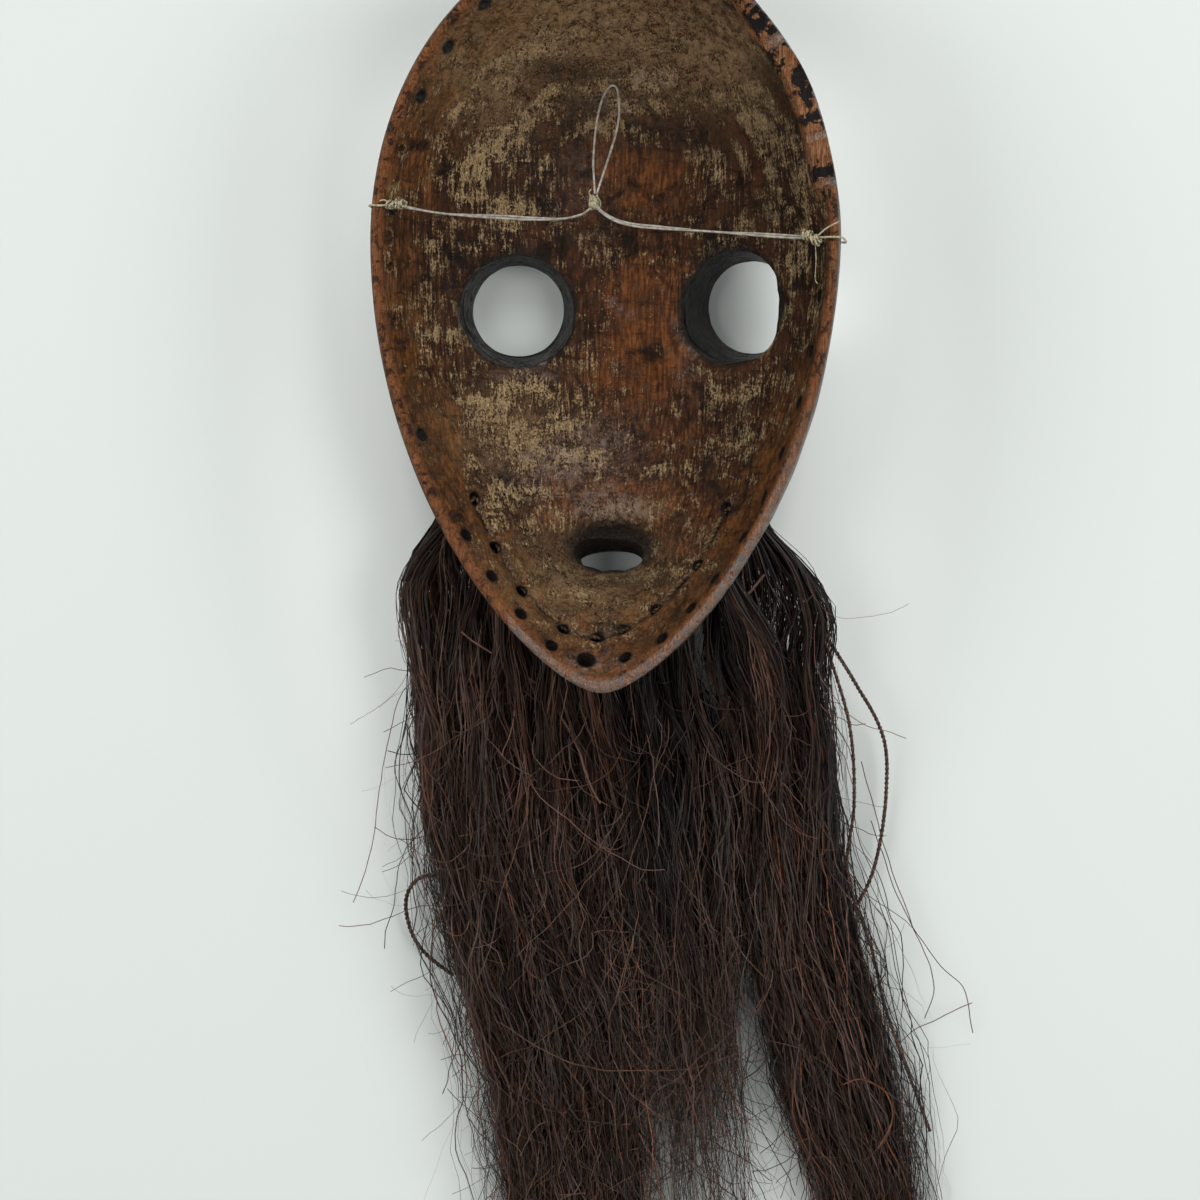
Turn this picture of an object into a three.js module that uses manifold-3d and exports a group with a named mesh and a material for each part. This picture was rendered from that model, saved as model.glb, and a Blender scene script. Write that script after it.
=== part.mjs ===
// A carved wooden face mask with a fibre beard, lying face down, with its hollow back up.
// Millimetres, +Z up, the forehead towards +Y. The origin is on the table, under the middle of the object.
import * as THREE from 'three';
import { mergeVertices } from 'three/addons/utils/BufferGeometryUtils.js';
import Module from 'manifold-3d';

const wasm = await Module();
wasm.setup();

// Driving dimensions of the mask, in its own frame: the rim is the plane z = 0, the face bulges towards -z,
// x runs across and y from chin to forehead, both from the middle of the widest line.
const HALF_WIDTH = 75;
const TOP_LENGTH = 95.4;
const JAW_LENGTH = 144.3;
const JAW_TAPER = 1.44;
const CHIN_ROUNDING = 0.26;
const RIM_WIDTH = 4.4;
const FACE_DEPTH = 44;
const FACE_FULLNESS = 2.7;
const HOLLOW_DEPTH = 41;
const HOLLOW_FULLNESS = 2.3;
const HOLLOW_ROUNDING = 0.52;
const CLEARANCE = 0.3;

// The hollow stops short of the chin by this many times what it stops short of the sides.
const CHIN_THICKENING = 1.5;

// How the mask lies: rolled on to its left eye, with the rim's middle at this height over the table.
const ROLL = THREE.MathUtils.degToRad(10);
const RIM_HEIGHT = 61.2;

// The origin lies this far from the mask's own, across and along the table, under the middle of the object.
const ORIGIN_SHIFT = { x: -19.7, y: 146 };

// Eyes: splayed tubes with a conical hole.
const EYE_X = 35.2;
const EYE_SHIFT = 1.5;
const EYE_Y = -20;
const EYE_INNER_DEPTH = 35;
const EYE_OUTER_DEPTH = 56;
const EYE_INNER_RADIUS = 18.4;
const EYE_OUTER_RADIUS = 15.2;
const EYE_TUBE_RADIUS = 19.6;
const EYE_SPLAY = THREE.MathUtils.degToRad(11);
const EYE_LIFT = THREE.MathUtils.degToRad(4);

// Nose and mouth.
const NOSE = { rootY: 8, wingY: -66, rootHalf: 4, wingHalf: 13, rise: 20 };
const MOUTH = { x: -4.4, y: -102.3, halfWidth: 10.2, halfHeight: 2.8, depth: 52 };
const MOUTH_PIT = { x: -2.6, y: -99.3, halfWidth: 13, halfHeight: 10.2, depth: 29 };
const LIPS = { halfWidth: 17, bow: 6.4, halfHeight: 3.6, rise: 5.5 };
const TEETH = 4;

// Soft swellings of the face and of the hollow behind it: where, how wide, how tall, how much they stand out.
const FACE_SWELLINGS = [
  { x: 0, y: 40, halfWidth: 50, halfHeight: 37, rise: 19.2 },
  { x: -36, y: -20, halfWidth: 22, halfHeight: 16, rise: -5 },
  { x: 36, y: -20, halfWidth: 22, halfHeight: 16, rise: -5 },
  { x: -33, y: -62, halfWidth: 18, halfHeight: 22, rise: 3 },
  { x: 33, y: -62, halfWidth: 18, halfHeight: 22, rise: 3 },
  { x: -3, y: -101, halfWidth: 22, halfHeight: 17, rise: 12 },
  { x: 0, y: -128, halfWidth: 13, halfHeight: 8, rise: 4 },
];
const HOLLOW_SWELLINGS = [
  { x: 0, y: 40, halfWidth: 46, halfHeight: 36, rise: 12 },
  { x: 2, y: -52, halfWidth: 15, halfHeight: 22, rise: 5 },
];

// Holes round the rim, by their y, and the row along the jaw that the beard hangs from, by x and y.
const HOLE_RADIUS = 2.1;
const HOLE_SIDES = 5;
const EYE_SIDES = 22;
const MOUTH_POINTS = 20;
const HOLE_INSET = 5.5;
const HOLE_SLOPE = THREE.MathUtils.degToRad(40);
const JAW_HOLE_SLOPE = THREE.MathUtils.degToRad(45);
const LEFT_HOLES = [79, 65, 48.5, 31, 11, -8.5, -26.5, -46, -64, -82.5, -97, -110.5, -123, -133.5];
const RIGHT_HOLES = [-2, -20, -38, -54.5, -71, -85, -98, -111.5, -121, -131];
const CHIN_HOLES = [{ y: -141, side: -1, radius: 2.9 }, { y: -140, side: 1, radius: 2.1 }];
const CHIN_HOLE_INSET = 8;
const BROKEN_HOLES = [62, 31, 15.6];
const JAW_HOLES = [
  [-43.9, -82.2], [-36.5, -97.8], [-27.4, -111.8], [-13.9, -124.2], [-3.2, -127.1],
  [4.6, -124.5], [14.6, -117.9], [27.8, -103.6], [36.5, -85.7],
];

// The stretch of rim that has broken away, with the height of its raw face inside and outside.
const BREAK = { fromY: 12, toY: 75, inset: 13, innerDrop: 1.2, outerDrop: 6.5, steps: 12 };

// The cord inside the jaw, and the nylon line with its knots.
const BEARD_CORD_RADIUS = 1;
const LINE_RADIUS = 0.8;
const LOOP_RADIUS = 0.4;
const LINE_SIDES = 8;
const RIM_KNOT_SIZE = [3.1, 1.9, 1.7];
const MIDDLE_KNOT_SIZE = [2.2, 2.8, 2];
const KNOT_LEFT = [-66.4, 11, 0];
const KNOT_MIDDLE = [-3.3, 10.8, -7.5];
const KNOT_RIGHT = [67.2, -2.2, 0.4];
const LINE_KNOTS = [[KNOT_LEFT, RIM_KNOT_SIZE], [KNOT_MIDDLE, MIDDLE_KNOT_SIZE], [KNOT_RIGHT, RIM_KNOT_SIZE]];
const LINE_ROUTE = [
  [-64.6, 10.5, -1], [-60, 9.6, -1.8], [-52.6, 8.3, -3], [-43, 7.5, -4.4], [-33.6, 7, -5.6],
  [-24, 6.4, -6.6], [-14.3, 6.2, -7.3], [-7.9, 7.4, -7.7], [-5, 9.2, -7.7], [-3.3, 10.6, -7.6],
  [-1.6, 8.6, -7.6], [1.2, 6.6, -7.5], [4.7, 4.9, -7.3], [10, 3.6, -6.9], [17.2, 2.7, -6.2],
  [27, 1.6, -5.1], [36.5, 0.6, -3.9], [48, -0.5, -2.3], [58, -1.5, -0.8], [64, -2, 0.1],
];
const LOOP_ROUTE = [
  [-3.4, 14, -7.8], [-3.9, 18.5, -9.4], [-4.8, 24, -13], [-5.4, 29.2, -17.4], [-5.9, 35, -22.6],
  [-6.2, 40.4, -27.8], [-6.2, 45.4, -33], [-5.8, 49.6, -37.6], [-5, 52.6, -41.2], [-3.8, 54, -43],
  [-2.2, 53, -42.2], [-1, 49.4, -38.8], [0, 45.2, -34.4], [0.6, 40.6, -29.4], [0.6, 35, -23.8],
  [0.1, 29.4, -18.2], [-0.7, 23.6, -13.2], [-1.8, 18, -9.6], [-2.8, 14, -8],
];

// The beard lies on the table in three groups of tufts, side by side. A group's left and right edges are its
// x at these distances from the chin, towards -y, with the height of the pile there. ends is how far past the
// chin each tuft of the group reaches.
const LANE_Y = [10, -20, -55, -90, -130, -168];
const PILE_HEIGHT = [30, 24, 21, 18, 15, 12];
const TUFT_GROUPS = [
  { left: [-66, -67, -60, -52, -41, -35], right: [-4, -2, -1, 3, 11, 13], ends: [-233, -242, -229, -239] },
  { left: [-4, -2, -1, 3, 11, 13], right: [33, 42, 43, 45, 47, 50], ends: [-211, -221, -207] },
  { left: [35, 43, 45, 50, 58, 72], right: [81, 85, 88, 96, 107, 113], ends: [-237, -243] },
];
const TUFT_STEPS = 10;
const TUFT_SIDES = 8;
const ROOT_RADIUS = 6;

const DARK_WOOD = new THREE.MeshStandardMaterial({ color: 0x4b3526, roughness: 0.5, metalness: 0 });
const FIBRE = new THREE.MeshStandardMaterial({ color: 0x2a1c17, roughness: 0.7, metalness: 0 });
const OCHRE_CORD = new THREE.MeshStandardMaterial({ color: 0x7a5f3c, roughness: 0.85, metalness: 0 });
const NYLON = new THREE.MeshStandardMaterial({ color: 0xb9b3a3, roughness: 0.35, metalness: 0 });

const clamp01 = (value) => Math.min(Math.max(value, 0), 1);

function smoothStep(from, to, value) {
  const t = clamp01((value - from) / (to - from));
  return t * t * (3 - 2 * t);
}

function swelling({ x, y, halfWidth, halfHeight, rise }, atX, atY) {
  return rise * Math.exp(-(((atX - x) / halfWidth) ** 2) - ((atY - y) / halfHeight) ** 2);
}

// The value at x of the smooth curve through points with these rising or falling xs.
function along(xs, values, x) {
  const curve = new THREE.SplineCurve(xs.map((each, i) => new THREE.Vector2(each, values[i])));
  const last = xs.length - 1;
  const falling = xs[last] < xs[0];
  let low = 0;
  let high = 1;
  for (let i = 0; i < 24; i += 1) {
    const middle = (low + high) / 2;
    const short = falling ? curve.getPoint(middle).x > x : curve.getPoint(middle).x < x;
    if (short) low = middle;
    else high = middle;
  }
  return curve.getPoint(low).y;
}

// A closed geometry from loose triangles: shared corners are merged and empty triangles dropped.
function closedGeometry(corners) {
  const soup = new THREE.BufferGeometry();
  soup.setAttribute('position', new THREE.Float32BufferAttribute(corners.flatMap((p) => [p.x, p.y, p.z]), 3));
  return mergeVertices(soup, 1e-4);
}

function toSolid(geometry) {
  const bare = geometry.clone();
  bare.deleteAttribute('normal');
  bare.deleteAttribute('uv');
  const merged = mergeVertices(bare, 1e-4);
  const index = [...merged.index.array];
  const kept = [];
  for (let i = 0; i < index.length; i += 3) {
    const [a, b, c] = index.slice(i, i + 3);
    if (a !== b && b !== c && c !== a) kept.push(a, b, c);
  }
  return new wasm.Manifold(new wasm.Mesh({
    numProp: 3,
    vertProperties: new Float32Array(merged.attributes.position.array),
    triVerts: new Uint32Array(kept),
  }));
}

function toGeometry(solid) {
  const mesh = solid.getMesh();
  const geometry = new THREE.BufferGeometry();
  geometry.setAttribute('position', new THREE.BufferAttribute(mesh.vertProperties.slice(), 3));
  geometry.setIndex(new THREE.BufferAttribute(mesh.triVerts.slice(), 1));
  geometry.computeVertexNormals();
  return geometry;
}

function joined(solids) {
  return solids.reduce((sum, each) => sum.add(each));
}

// A closed skin over a stack of rings with equal counts of points, each ring running the same way round.
function loft(rings) {
  const corners = [];
  const count = rings[0].length;
  for (let i = 0; i < rings.length - 1; i += 1) {
    for (let j = 0; j < count; j += 1) {
      const k = (j + 1) % count;
      const [a, b, c, d] = [rings[i][j], rings[i][k], rings[i + 1][k], rings[i + 1][j]];
      corners.push(a, b, c, a, c, d);
    }
  }
  const first = rings[0];
  const last = rings[rings.length - 1];
  for (let j = 1; j < count - 1; j += 1) {
    corners.push(first[0], first[j + 1], first[j]);
    corners.push(last[0], last[j], last[j + 1]);
  }
  return closedGeometry(corners);
}

// A round cord along a smooth route, with flat ends.
function cord(route, radius, steps, sides = LINE_SIDES) {
  const curve = new THREE.CatmullRomCurve3(route.map((p) => new THREE.Vector3(...p)), false, 'centripetal');
  const section = new THREE.Shape();
  for (let i = 0; i < sides; i += 1) {
    const angle = (i / sides) * 2 * Math.PI;
    const corner = [radius * Math.cos(angle), radius * Math.sin(angle)];
    if (i === 0) section.moveTo(...corner);
    else section.lineTo(...corner);
  }
  return new THREE.ExtrudeGeometry(section, { steps, extrudePath: curve, bevelEnabled: false });
}

// How much the jaw draws in at a height where the outline's cosine is this, with a blunt tip.
function taper(cosine) {
  return ((cosine ** 2 + CHIN_ROUNDING ** 2) / (1 + CHIN_ROUNDING ** 2)) ** ((JAW_TAPER - 1) / 2);
}

// The outline of the mask, from the chin (turn = -90 degrees) to the top (90 degrees). across is -1 at the
// left edge and 1 at the right one. inset draws it smaller, for the hollow.
function outlinePoint(across, turn, inset = 0) {
  const jaw = turn < 0;
  const narrowing = Math.cos(turn) * (jaw ? taper(Math.cos(turn)) : 1);
  const length = jaw ? JAW_LENGTH - CHIN_THICKENING * inset : TOP_LENGTH - inset;
  return { x: (HALF_WIDTH - inset) * across * narrowing, y: length * Math.sin(turn) };
}

// How far a point is from the middle of the outline, as a share of the way to its edge.
function reach(x, y, inset = 0) {
  const length = y < 0 ? JAW_LENGTH - CHIN_THICKENING * inset : TOP_LENGTH - inset;
  const v = THREE.MathUtils.clamp(y / length, -1, 1);
  const cosine = Math.sqrt(Math.max(1 - v * v, 1e-9));
  const u = x / ((HALF_WIDTH - inset) * (y < 0 ? taper(cosine) : 1));
  return Math.min(Math.hypot(u, v), 1);
}

// Depth of the face and of the hollow under the rim plane.
function faceDepth(x, y) {
  const dome = FACE_DEPTH * (1 - reach(x, y) ** FACE_FULLNESS) ** (1 / FACE_FULLNESS);
  const fade = smoothStep(0, 0.35, dome / FACE_DEPTH);
  const swell = FACE_SWELLINGS.reduce((sum, each) => sum + swelling(each, x, y), 0);
  return dome + fade * swell;
}

function hollowDepth(x, y) {
  const bowl = HOLLOW_DEPTH * (1 - reach(x, y, RIM_WIDTH) ** HOLLOW_FULLNESS) ** HOLLOW_ROUNDING;
  const fade = smoothStep(0, 0.6, bowl / HOLLOW_DEPTH);
  return bowl + fade * HOLLOW_SWELLINGS.reduce((sum, each) => sum + swelling(each, x, y), 0);
}

// The point at this distance straight off the hollow's surface.
function aboveHollow(x, y, distance) {
  const step = 0.5;
  const slopeX = (hollowDepth(x + step, y) - hollowDepth(x - step, y)) / (2 * step);
  const slopeY = (hollowDepth(x, y + step) - hollowDepth(x, y - step)) / (2 * step);
  const point = new THREE.Vector3(x, y, -hollowDepth(x, y));
  return point.addScaledVector(new THREE.Vector3(slopeX, slopeY, 1).normalize(), distance).toArray();
}

// Rows run from chin to top, closer together at the ends. Columns run from side to side.
function rowTurns() {
  const bands = [[-90, -55, 7], [-55, 0, 9], [0, 60, 8], [60, 90, 5]];
  const turns = bands.flatMap(([from, to, count]) => (
    Array.from({ length: count }, (_, i) => from + ((to - from) * i) / count)
  ));
  return [...turns, 90].map(THREE.MathUtils.degToRad);
}

function mirrored(half) {
  return [...half.slice(1).reverse().map((share) => -share), ...half];
}

const FACE_COLUMNS = mirrored([0, 0.16, 0.32, 0.48, 0.64, 0.78, 0.9, 0.965, 1]);
const HOLLOW_COLUMNS = mirrored([0, 0.25, 0.5, 0.7, 0.85, 0.95, 1]);

// One side of the block, as rows of points. extra moves it outwards, to leave room for a neighbour.
function sheet(columns, inset, depth, extra = 0) {
  return rowTurns().map((turn) => columns.map((across) => {
    const { x, y } = outlinePoint(across, turn, inset);
    const moved = outlinePoint(across, turn, inset - extra);
    const edge = Math.abs(across) === 1 || Math.abs(Math.sin(turn)) > 0.99999;
    return new THREE.Vector3(moved.x, moved.y, edge ? 0 : -depth(x, y) - extra);
  }));
}

// The block between the face and the hollow, or, without a hollow, the filled shape under a flat lid.
function maskBlock(hollow, extra = 0) {
  const face = sheet(FACE_COLUMNS, 0, faceDepth, extra);
  const inside = hollow
    ? sheet(HOLLOW_COLUMNS, RIM_WIDTH, hollowDepth)
    : sheet(HOLLOW_COLUMNS, RIM_WIDTH, () => 0);
  const corners = [];
  const quad = (a, b, c, d) => corners.push(a, b, c, a, c, d);
  const lastFace = FACE_COLUMNS.length - 1;
  const lastInside = HOLLOW_COLUMNS.length - 1;
  for (let i = 0; i < face.length - 1; i += 1) {
    for (let j = 0; j < lastFace; j += 1) {
      quad(face[i][j], face[i + 1][j], face[i + 1][j + 1], face[i][j + 1]);
    }
    for (let j = 0; j < lastInside; j += 1) {
      quad(inside[i][j], inside[i][j + 1], inside[i + 1][j + 1], inside[i + 1][j]);
    }
    quad(face[i][0], inside[i][0], inside[i + 1][0], face[i + 1][0]);
    quad(inside[i][lastInside], face[i][lastFace], face[i + 1][lastFace], inside[i + 1][lastInside]);
  }
  return toSolid(closedGeometry(corners));
}

// A round bar or cone from one point towards another.
function barBetween(from, to, fromRadius, toRadius, sides) {
  const axis = new THREE.Vector3().subVectors(to, from);
  const geometry = new THREE.CylinderGeometry(toRadius, fromRadius, axis.length(), sides);
  geometry.translate(0, axis.length() / 2, 0);
  const up = new THREE.Vector3(0, 1, 0);
  geometry.applyQuaternion(new THREE.Quaternion().setFromUnitVectors(up, axis.clone().normalize()));
  geometry.translate(from.x, from.y, from.z);
  return toSolid(geometry);
}

// The nose: a ridge that widens and rises from its root to its wings, with a slanting underside.
function nose() {
  const stations = [0, 0.22, 0.5, 0.78, 1, 1.07, 1.15];
  const rings = stations.map((t) => {
    const y = THREE.MathUtils.lerp(NOSE.rootY, NOSE.wingY, t);
    const share = Math.min(t, 1);
    const tucked = 1 - smoothStep(0.98, 1.16, t);
    const widening = THREE.MathUtils.lerp(NOSE.rootHalf, NOSE.wingHalf, share ** 1.6);
    const halfWidth = widening * (0.6 + 0.4 * tucked);
    const rise = THREE.MathUtils.lerp(1, NOSE.rise, share) * (0.25 + 0.75 * tucked);
    const face = faceDepth(0, y);
    const section = [[1, -4], [0.78, 0.55 * rise], [0.3, rise], [-0.3, rise], [-0.78, 0.55 * rise], [-1, -4]];
    return section.map(([side, above]) => new THREE.Vector3(side * halfWidth, y, -face - above));
  });
  return toSolid(loft(rings.map((ring) => ring.reverse())));
}

// One lip: a bar that bends from one corner of the mouth to the other. side is 1 for the upper lip.
function lip(side) {
  const steps = 8;
  const rings = [];
  for (let i = 0; i <= steps; i += 1) {
    const share = THREE.MathUtils.lerp(-1, 1, i / steps);
    const full = Math.sqrt(1 - 0.9 * share * share);
    const x = MOUTH.x + LIPS.halfWidth * share;
    const y = MOUTH.y + side * LIPS.bow * full;
    const depth = faceDepth(x, y);
    rings.push(Array.from({ length: 6 }, (_, j) => {
      const angle = ((j + 0.5) / 6) * 2 * Math.PI;
      const down = -depth + 1 + (LIPS.rise + 1) * full * Math.sin(angle);
      return new THREE.Vector3(x, y + LIPS.halfHeight * full * Math.cos(angle), down);
    }));
  }
  return toSolid(loft(rings));
}

// An eye's axis: a function of depth that gives the point on it.
function eyeAxis(side) {
  const middle = new THREE.Vector3(side * EYE_X + EYE_SHIFT, EYE_Y, -EYE_INNER_DEPTH);
  const axis = new THREE.Vector3(side * Math.sin(EYE_SPLAY), Math.sin(EYE_LIFT), -Math.cos(EYE_SPLAY));
  return (depth) => middle.clone().addScaledVector(axis, (depth - EYE_INNER_DEPTH) / Math.cos(EYE_SPLAY));
}

function eyeTube(side) {
  const at = eyeAxis(side);
  const root = at(EYE_INNER_DEPTH + 4);
  return barBetween(root, at(EYE_OUTER_DEPTH), EYE_TUBE_RADIUS + 0.8, EYE_TUBE_RADIUS, EYE_SIDES);
}

function eyeHole(side) {
  const at = eyeAxis(side);
  const widening = (EYE_INNER_RADIUS - EYE_OUTER_RADIUS) / (EYE_OUTER_DEPTH - EYE_INNER_DEPTH);
  const above = 14;
  const below = 4;
  return barBetween(
    at(EYE_INNER_DEPTH - above),
    at(EYE_OUTER_DEPTH + below),
    EYE_INNER_RADIUS + widening * above,
    EYE_OUTER_RADIUS - widening * below,
    EYE_SIDES,
  );
}

// The mouth: a wide pit in the hollow that narrows to a slot between the lips, with teeth on its lower edge.
function mouthHole() {
  const stations = [
    { ...MOUTH_PIT, depth: MOUTH_PIT.depth - 14, halfWidth: 14, halfHeight: 12 },
    MOUTH_PIT,
    { ...MOUTH, depth: MOUTH.depth - 6, halfHeight: MOUTH.halfHeight + 0.8 },
    { ...MOUTH, depth: MOUTH.depth + 14 },
  ];
  const rings = stations.map(({ x, y, halfWidth, halfHeight, depth }, level) => (
    Array.from({ length: MOUTH_POINTS }, (_, i) => {
      const angle = (-i / MOUTH_POINTS) * 2 * Math.PI;
      const sine = Math.sin(angle);
      const tooth = level > 1 && sine < 0 ? 0.7 * Math.abs(Math.cos(TEETH * angle)) : 0;
      return new THREE.Vector3(x + halfWidth * Math.cos(angle), y + halfHeight * sine + tooth, -depth);
    })
  ));
  return toSolid(loft(rings));
}

// The outline's point at a given y, on the side given as -1 or 1, and the direction straight out of it.
function edgeAt(y, side) {
  const turnAt = (height) => Math.asin(height / (height < 0 ? JAW_LENGTH : TOP_LENGTH));
  const step = 0.5;
  const point = outlinePoint(side, turnAt(y));
  const before = outlinePoint(side, turnAt(y - step));
  const after = outlinePoint(side, turnAt(y + step));
  const outward = new THREE.Vector3(side * (after.y - before.y), -side * (after.x - before.x), 0).normalize();
  return { point: new THREE.Vector3(point.x, point.y, 0), outward };
}

// A drilled hole through the wall: it starts in the hollow and slants out and down.
function drilled(inside, direction, radius = HOLE_RADIUS) {
  const before = 7;
  const beyond = 28;
  const from = inside.clone().addScaledVector(direction, -before);
  const to = inside.clone().addScaledVector(direction, beyond);
  return barBetween(from, to, radius, radius, HOLE_SIDES);
}

// Straight out of the outline, but slanting down by this angle.
function slanting(outward, slope) {
  return outward.clone().multiplyScalar(Math.cos(slope)).setZ(-Math.sin(slope));
}

function rimHole(y, side, inset = HOLE_INSET, radius = HOLE_RADIUS) {
  const { point, outward } = edgeAt(y, side);
  const inside = point.clone().addScaledVector(outward, -inset);
  inside.z = -hollowDepth(inside.x, inside.y);
  return drilled(inside, slanting(outward, HOLE_SLOPE), radius);
}

// A hole in the broken stretch lies open as a groove across the raw wood.
function openHole(y) {
  const { point, outward } = edgeAt(y, 1);
  const from = point.clone().addScaledVector(outward, -BREAK.inset).setZ(-3);
  const to = point.clone().addScaledVector(outward, 8).setZ(-5.5);
  return barBetween(from, to, HOLE_RADIUS, HOLE_RADIUS, HOLE_SIDES);
}

function jawHoleDirection(x, y) {
  const { outward } = edgeAt(Math.max(y - 6, -JAW_LENGTH + 4), Math.sign(x) || 1);
  return slanting(outward, JAW_HOLE_SLOPE);
}

function jawHole([x, y]) {
  return drilled(new THREE.Vector3(x, y, -hollowDepth(x, y)), jawHoleDirection(x, y));
}

// What has broken away from the rim, as a body with an uneven underside.
function brokenPiece() {
  const rings = [];
  for (let i = 0; i <= BREAK.steps; i += 1) {
    const y = THREE.MathUtils.lerp(BREAK.fromY, BREAK.toY, i / BREAK.steps);
    const { point, outward } = edgeAt(y, 1);
    const ragged = 0.7 * Math.sin(i * 2.3) + 0.5 * Math.sin(i * 5.1);
    const ends = smoothStep(0, 0.1, i / BREAK.steps) * smoothStep(0, 0.1, 1 - i / BREAK.steps);
    const inner = point.clone().addScaledVector(outward, -BREAK.inset);
    const outer = point.clone().addScaledVector(outward, 6);
    rings.push([
      inner.clone().setZ(6),
      outer.clone().setZ(6),
      outer.clone().setZ(0.4 - ends * (BREAK.outerDrop + ragged)),
      inner.clone().setZ(0.4 - ends * (BREAK.innerDrop + 0.3 * ragged)),
    ]);
  }
  return toSolid(loft(rings));
}

// Where the mask's frame sits on the table, before the whole is moved over the origin.
const maskPlace = new THREE.Matrix4().compose(
  new THREE.Vector3(0, 0, RIM_HEIGHT),
  new THREE.Quaternion().setFromAxisAngle(new THREE.Vector3(0, 1, 0), -ROLL),
  new THREE.Vector3(1, 1, 1),
);

// Everything under the table, seen from the mask's frame: it wears small flats on what the mask lies on.
function underTable() {
  const slab = new THREE.BoxGeometry(400, 400, 100).translate(0, 0, -50);
  return toSolid(slab.applyMatrix4(maskPlace.clone().invert()));
}

// The cord inside the jaw runs from hole to hole, and its ends go out through the outermost ones.
function beardCordRoute() {
  const route = [];
  JAW_HOLES.forEach((hole, i) => {
    route.push(aboveHollow(...hole, 1.5));
    const next = JAW_HOLES[i + 1];
    if (next) route.push(aboveHollow((hole[0] + next[0]) / 2, (hole[1] + next[1]) / 2, 1.9));
  });
  const ending = (hole) => {
    const point = new THREE.Vector3(...aboveHollow(...hole, 0));
    return point.addScaledVector(jawHoleDirection(...hole), 4).toArray();
  };
  return [ending(JAW_HOLES[0]), ...route, ending(JAW_HOLES[JAW_HOLES.length - 1])];
}

function mask() {
  let solid = joined([maskBlock(true), eyeTube(-1), eyeTube(1), nose(), lip(1), lip(-1)]);
  const cuts = [
    eyeHole(-1),
    eyeHole(1),
    mouthHole(),
    ...LEFT_HOLES.map((y) => rimHole(y, -1)),
    ...RIGHT_HOLES.map((y) => rimHole(y, 1)),
    ...CHIN_HOLES.map(({ y, side, radius }) => rimHole(y, side, CHIN_HOLE_INSET, radius)),
    ...BROKEN_HOLES.map(openHole),
    ...JAW_HOLES.map(jawHole),
    brokenPiece(),
    underTable(),
  ];
  cuts.forEach((cut) => {
    solid = solid.subtract(cut);
  });
  return solid;
}

function knotLump(at, [sizeX, sizeY, sizeZ], extra = 0) {
  const ball = new THREE.SphereGeometry(1, 10, 6);
  return toSolid(ball.scale(sizeX + extra, sizeY + extra, sizeZ + extra).translate(...at));
}

// A knot at the rim: a lump inside the rim, and the line's turn over the rim and back through a hole.
function rimKnot([x, y, z], side) {
  const { point, outward } = edgeAt(y, side);
  const inside = point.clone().addScaledVector(outward, -HOLE_INSET);
  inside.z = -hollowDepth(inside.x, inside.y);
  const direction = slanting(outward, HOLE_SLOPE);
  const outside = point.clone().addScaledVector(outward, 1.8);
  const exitDepth = inside.z + direction.z * ((HOLE_INSET + 1.4) / Math.cos(HOLE_SLOPE));
  const route = [
    [x, y, z],
    point.clone().addScaledVector(outward, -3).setZ(1.7).toArray(),
    point.clone().addScaledVector(outward, 0.6).setZ(1.5).toArray(),
    outside.clone().setZ(-4).toArray(),
    outside.clone().setZ(exitDepth + 2).toArray(),
    outside.clone().addScaledVector(outward, -1).setZ(exitDepth).toArray(),
    inside.clone().addScaledVector(direction, 2.5).toArray(),
    inside.clone().addScaledVector(direction, -1.4).toArray(),
    [x, y, z],
  ];
  return knotLump([x, y, z], RIM_KNOT_SIZE).add(toSolid(cord(route, LINE_RADIUS * 0.8, 16, 6)));
}

// One tuft: out of the jaw below its hole, down to the table and along its lane, flat underneath.
function tuft({ left, right, end }, hole, extra = 0) {
  const start = new THREE.Vector3(hole[0], hole[1], -hollowDepth(...hole));
  start.addScaledVector(jawHoleDirection(...hole), 9).applyMatrix4(maskPlace);
  const stations = [LANE_Y[0] + 1, ...LANE_Y, end - 60];
  const padded = (values, last) => [values[0], ...values, last];
  const rings = [];
  for (let i = 0; i <= TUFT_STEPS; i += 1) {
    const t = i / TUFT_STEPS;
    const y = THREE.MathUtils.lerp(start.y + extra, end - JAW_LENGTH - extra, t);
    const past = y + JAW_LENGTH;
    const leaving = smoothStep(start.y, -JAW_LENGTH - 45, y);
    const ending = smoothStep(0.78, 1, t);
    const edges = [left, right].map((xs) => along(stations, padded(xs, xs[xs.length - 1] + 3), past));
    const pile = along(stations, padded(PILE_HEIGHT, 6), past);
    const laneHalf = (edges[1] - edges[0]) / 2 - CLEARANCE / 2;
    const x = THREE.MathUtils.lerp(start.x, (edges[0] + edges[1]) / 2, leaving ** 0.4);
    const halfWidth = THREE.MathUtils.lerp(ROOT_RADIUS, laneHalf, leaving ** 0.5) * (1 - 0.55 * ending);
    const height = THREE.MathUtils.lerp(2.6 * ROOT_RADIUS, pile, leaving) * (1 - 0.7 * ending);
    const middle = THREE.MathUtils.lerp(start.z - 2, height / 2, leaving ** 0.7);
    rings.push(Array.from({ length: TUFT_SIDES }, (_, j) => {
      const angle = ((j + 0.5) / TUFT_SIDES) * 2 * Math.PI;
      const z = middle + (height / 2 + extra) * Math.sin(angle) * 1.08;
      return new THREE.Vector3(x + (halfWidth + extra) * Math.cos(angle) * 1.08, y, Math.max(z, 0));
    }));
  }
  return toSolid(loft(rings));
}

// Each group's lanes, shared out evenly between its tufts.
function tuftLanes() {
  return TUFT_GROUPS.flatMap(({ left, right, ends }) => ends.map((end, i) => {
    const share = (portion) => left.map((x, k) => THREE.MathUtils.lerp(x, right[k], portion));
    return { left: share(i / ends.length), right: share((i + 1) / ends.length), end };
  }));
}

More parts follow.
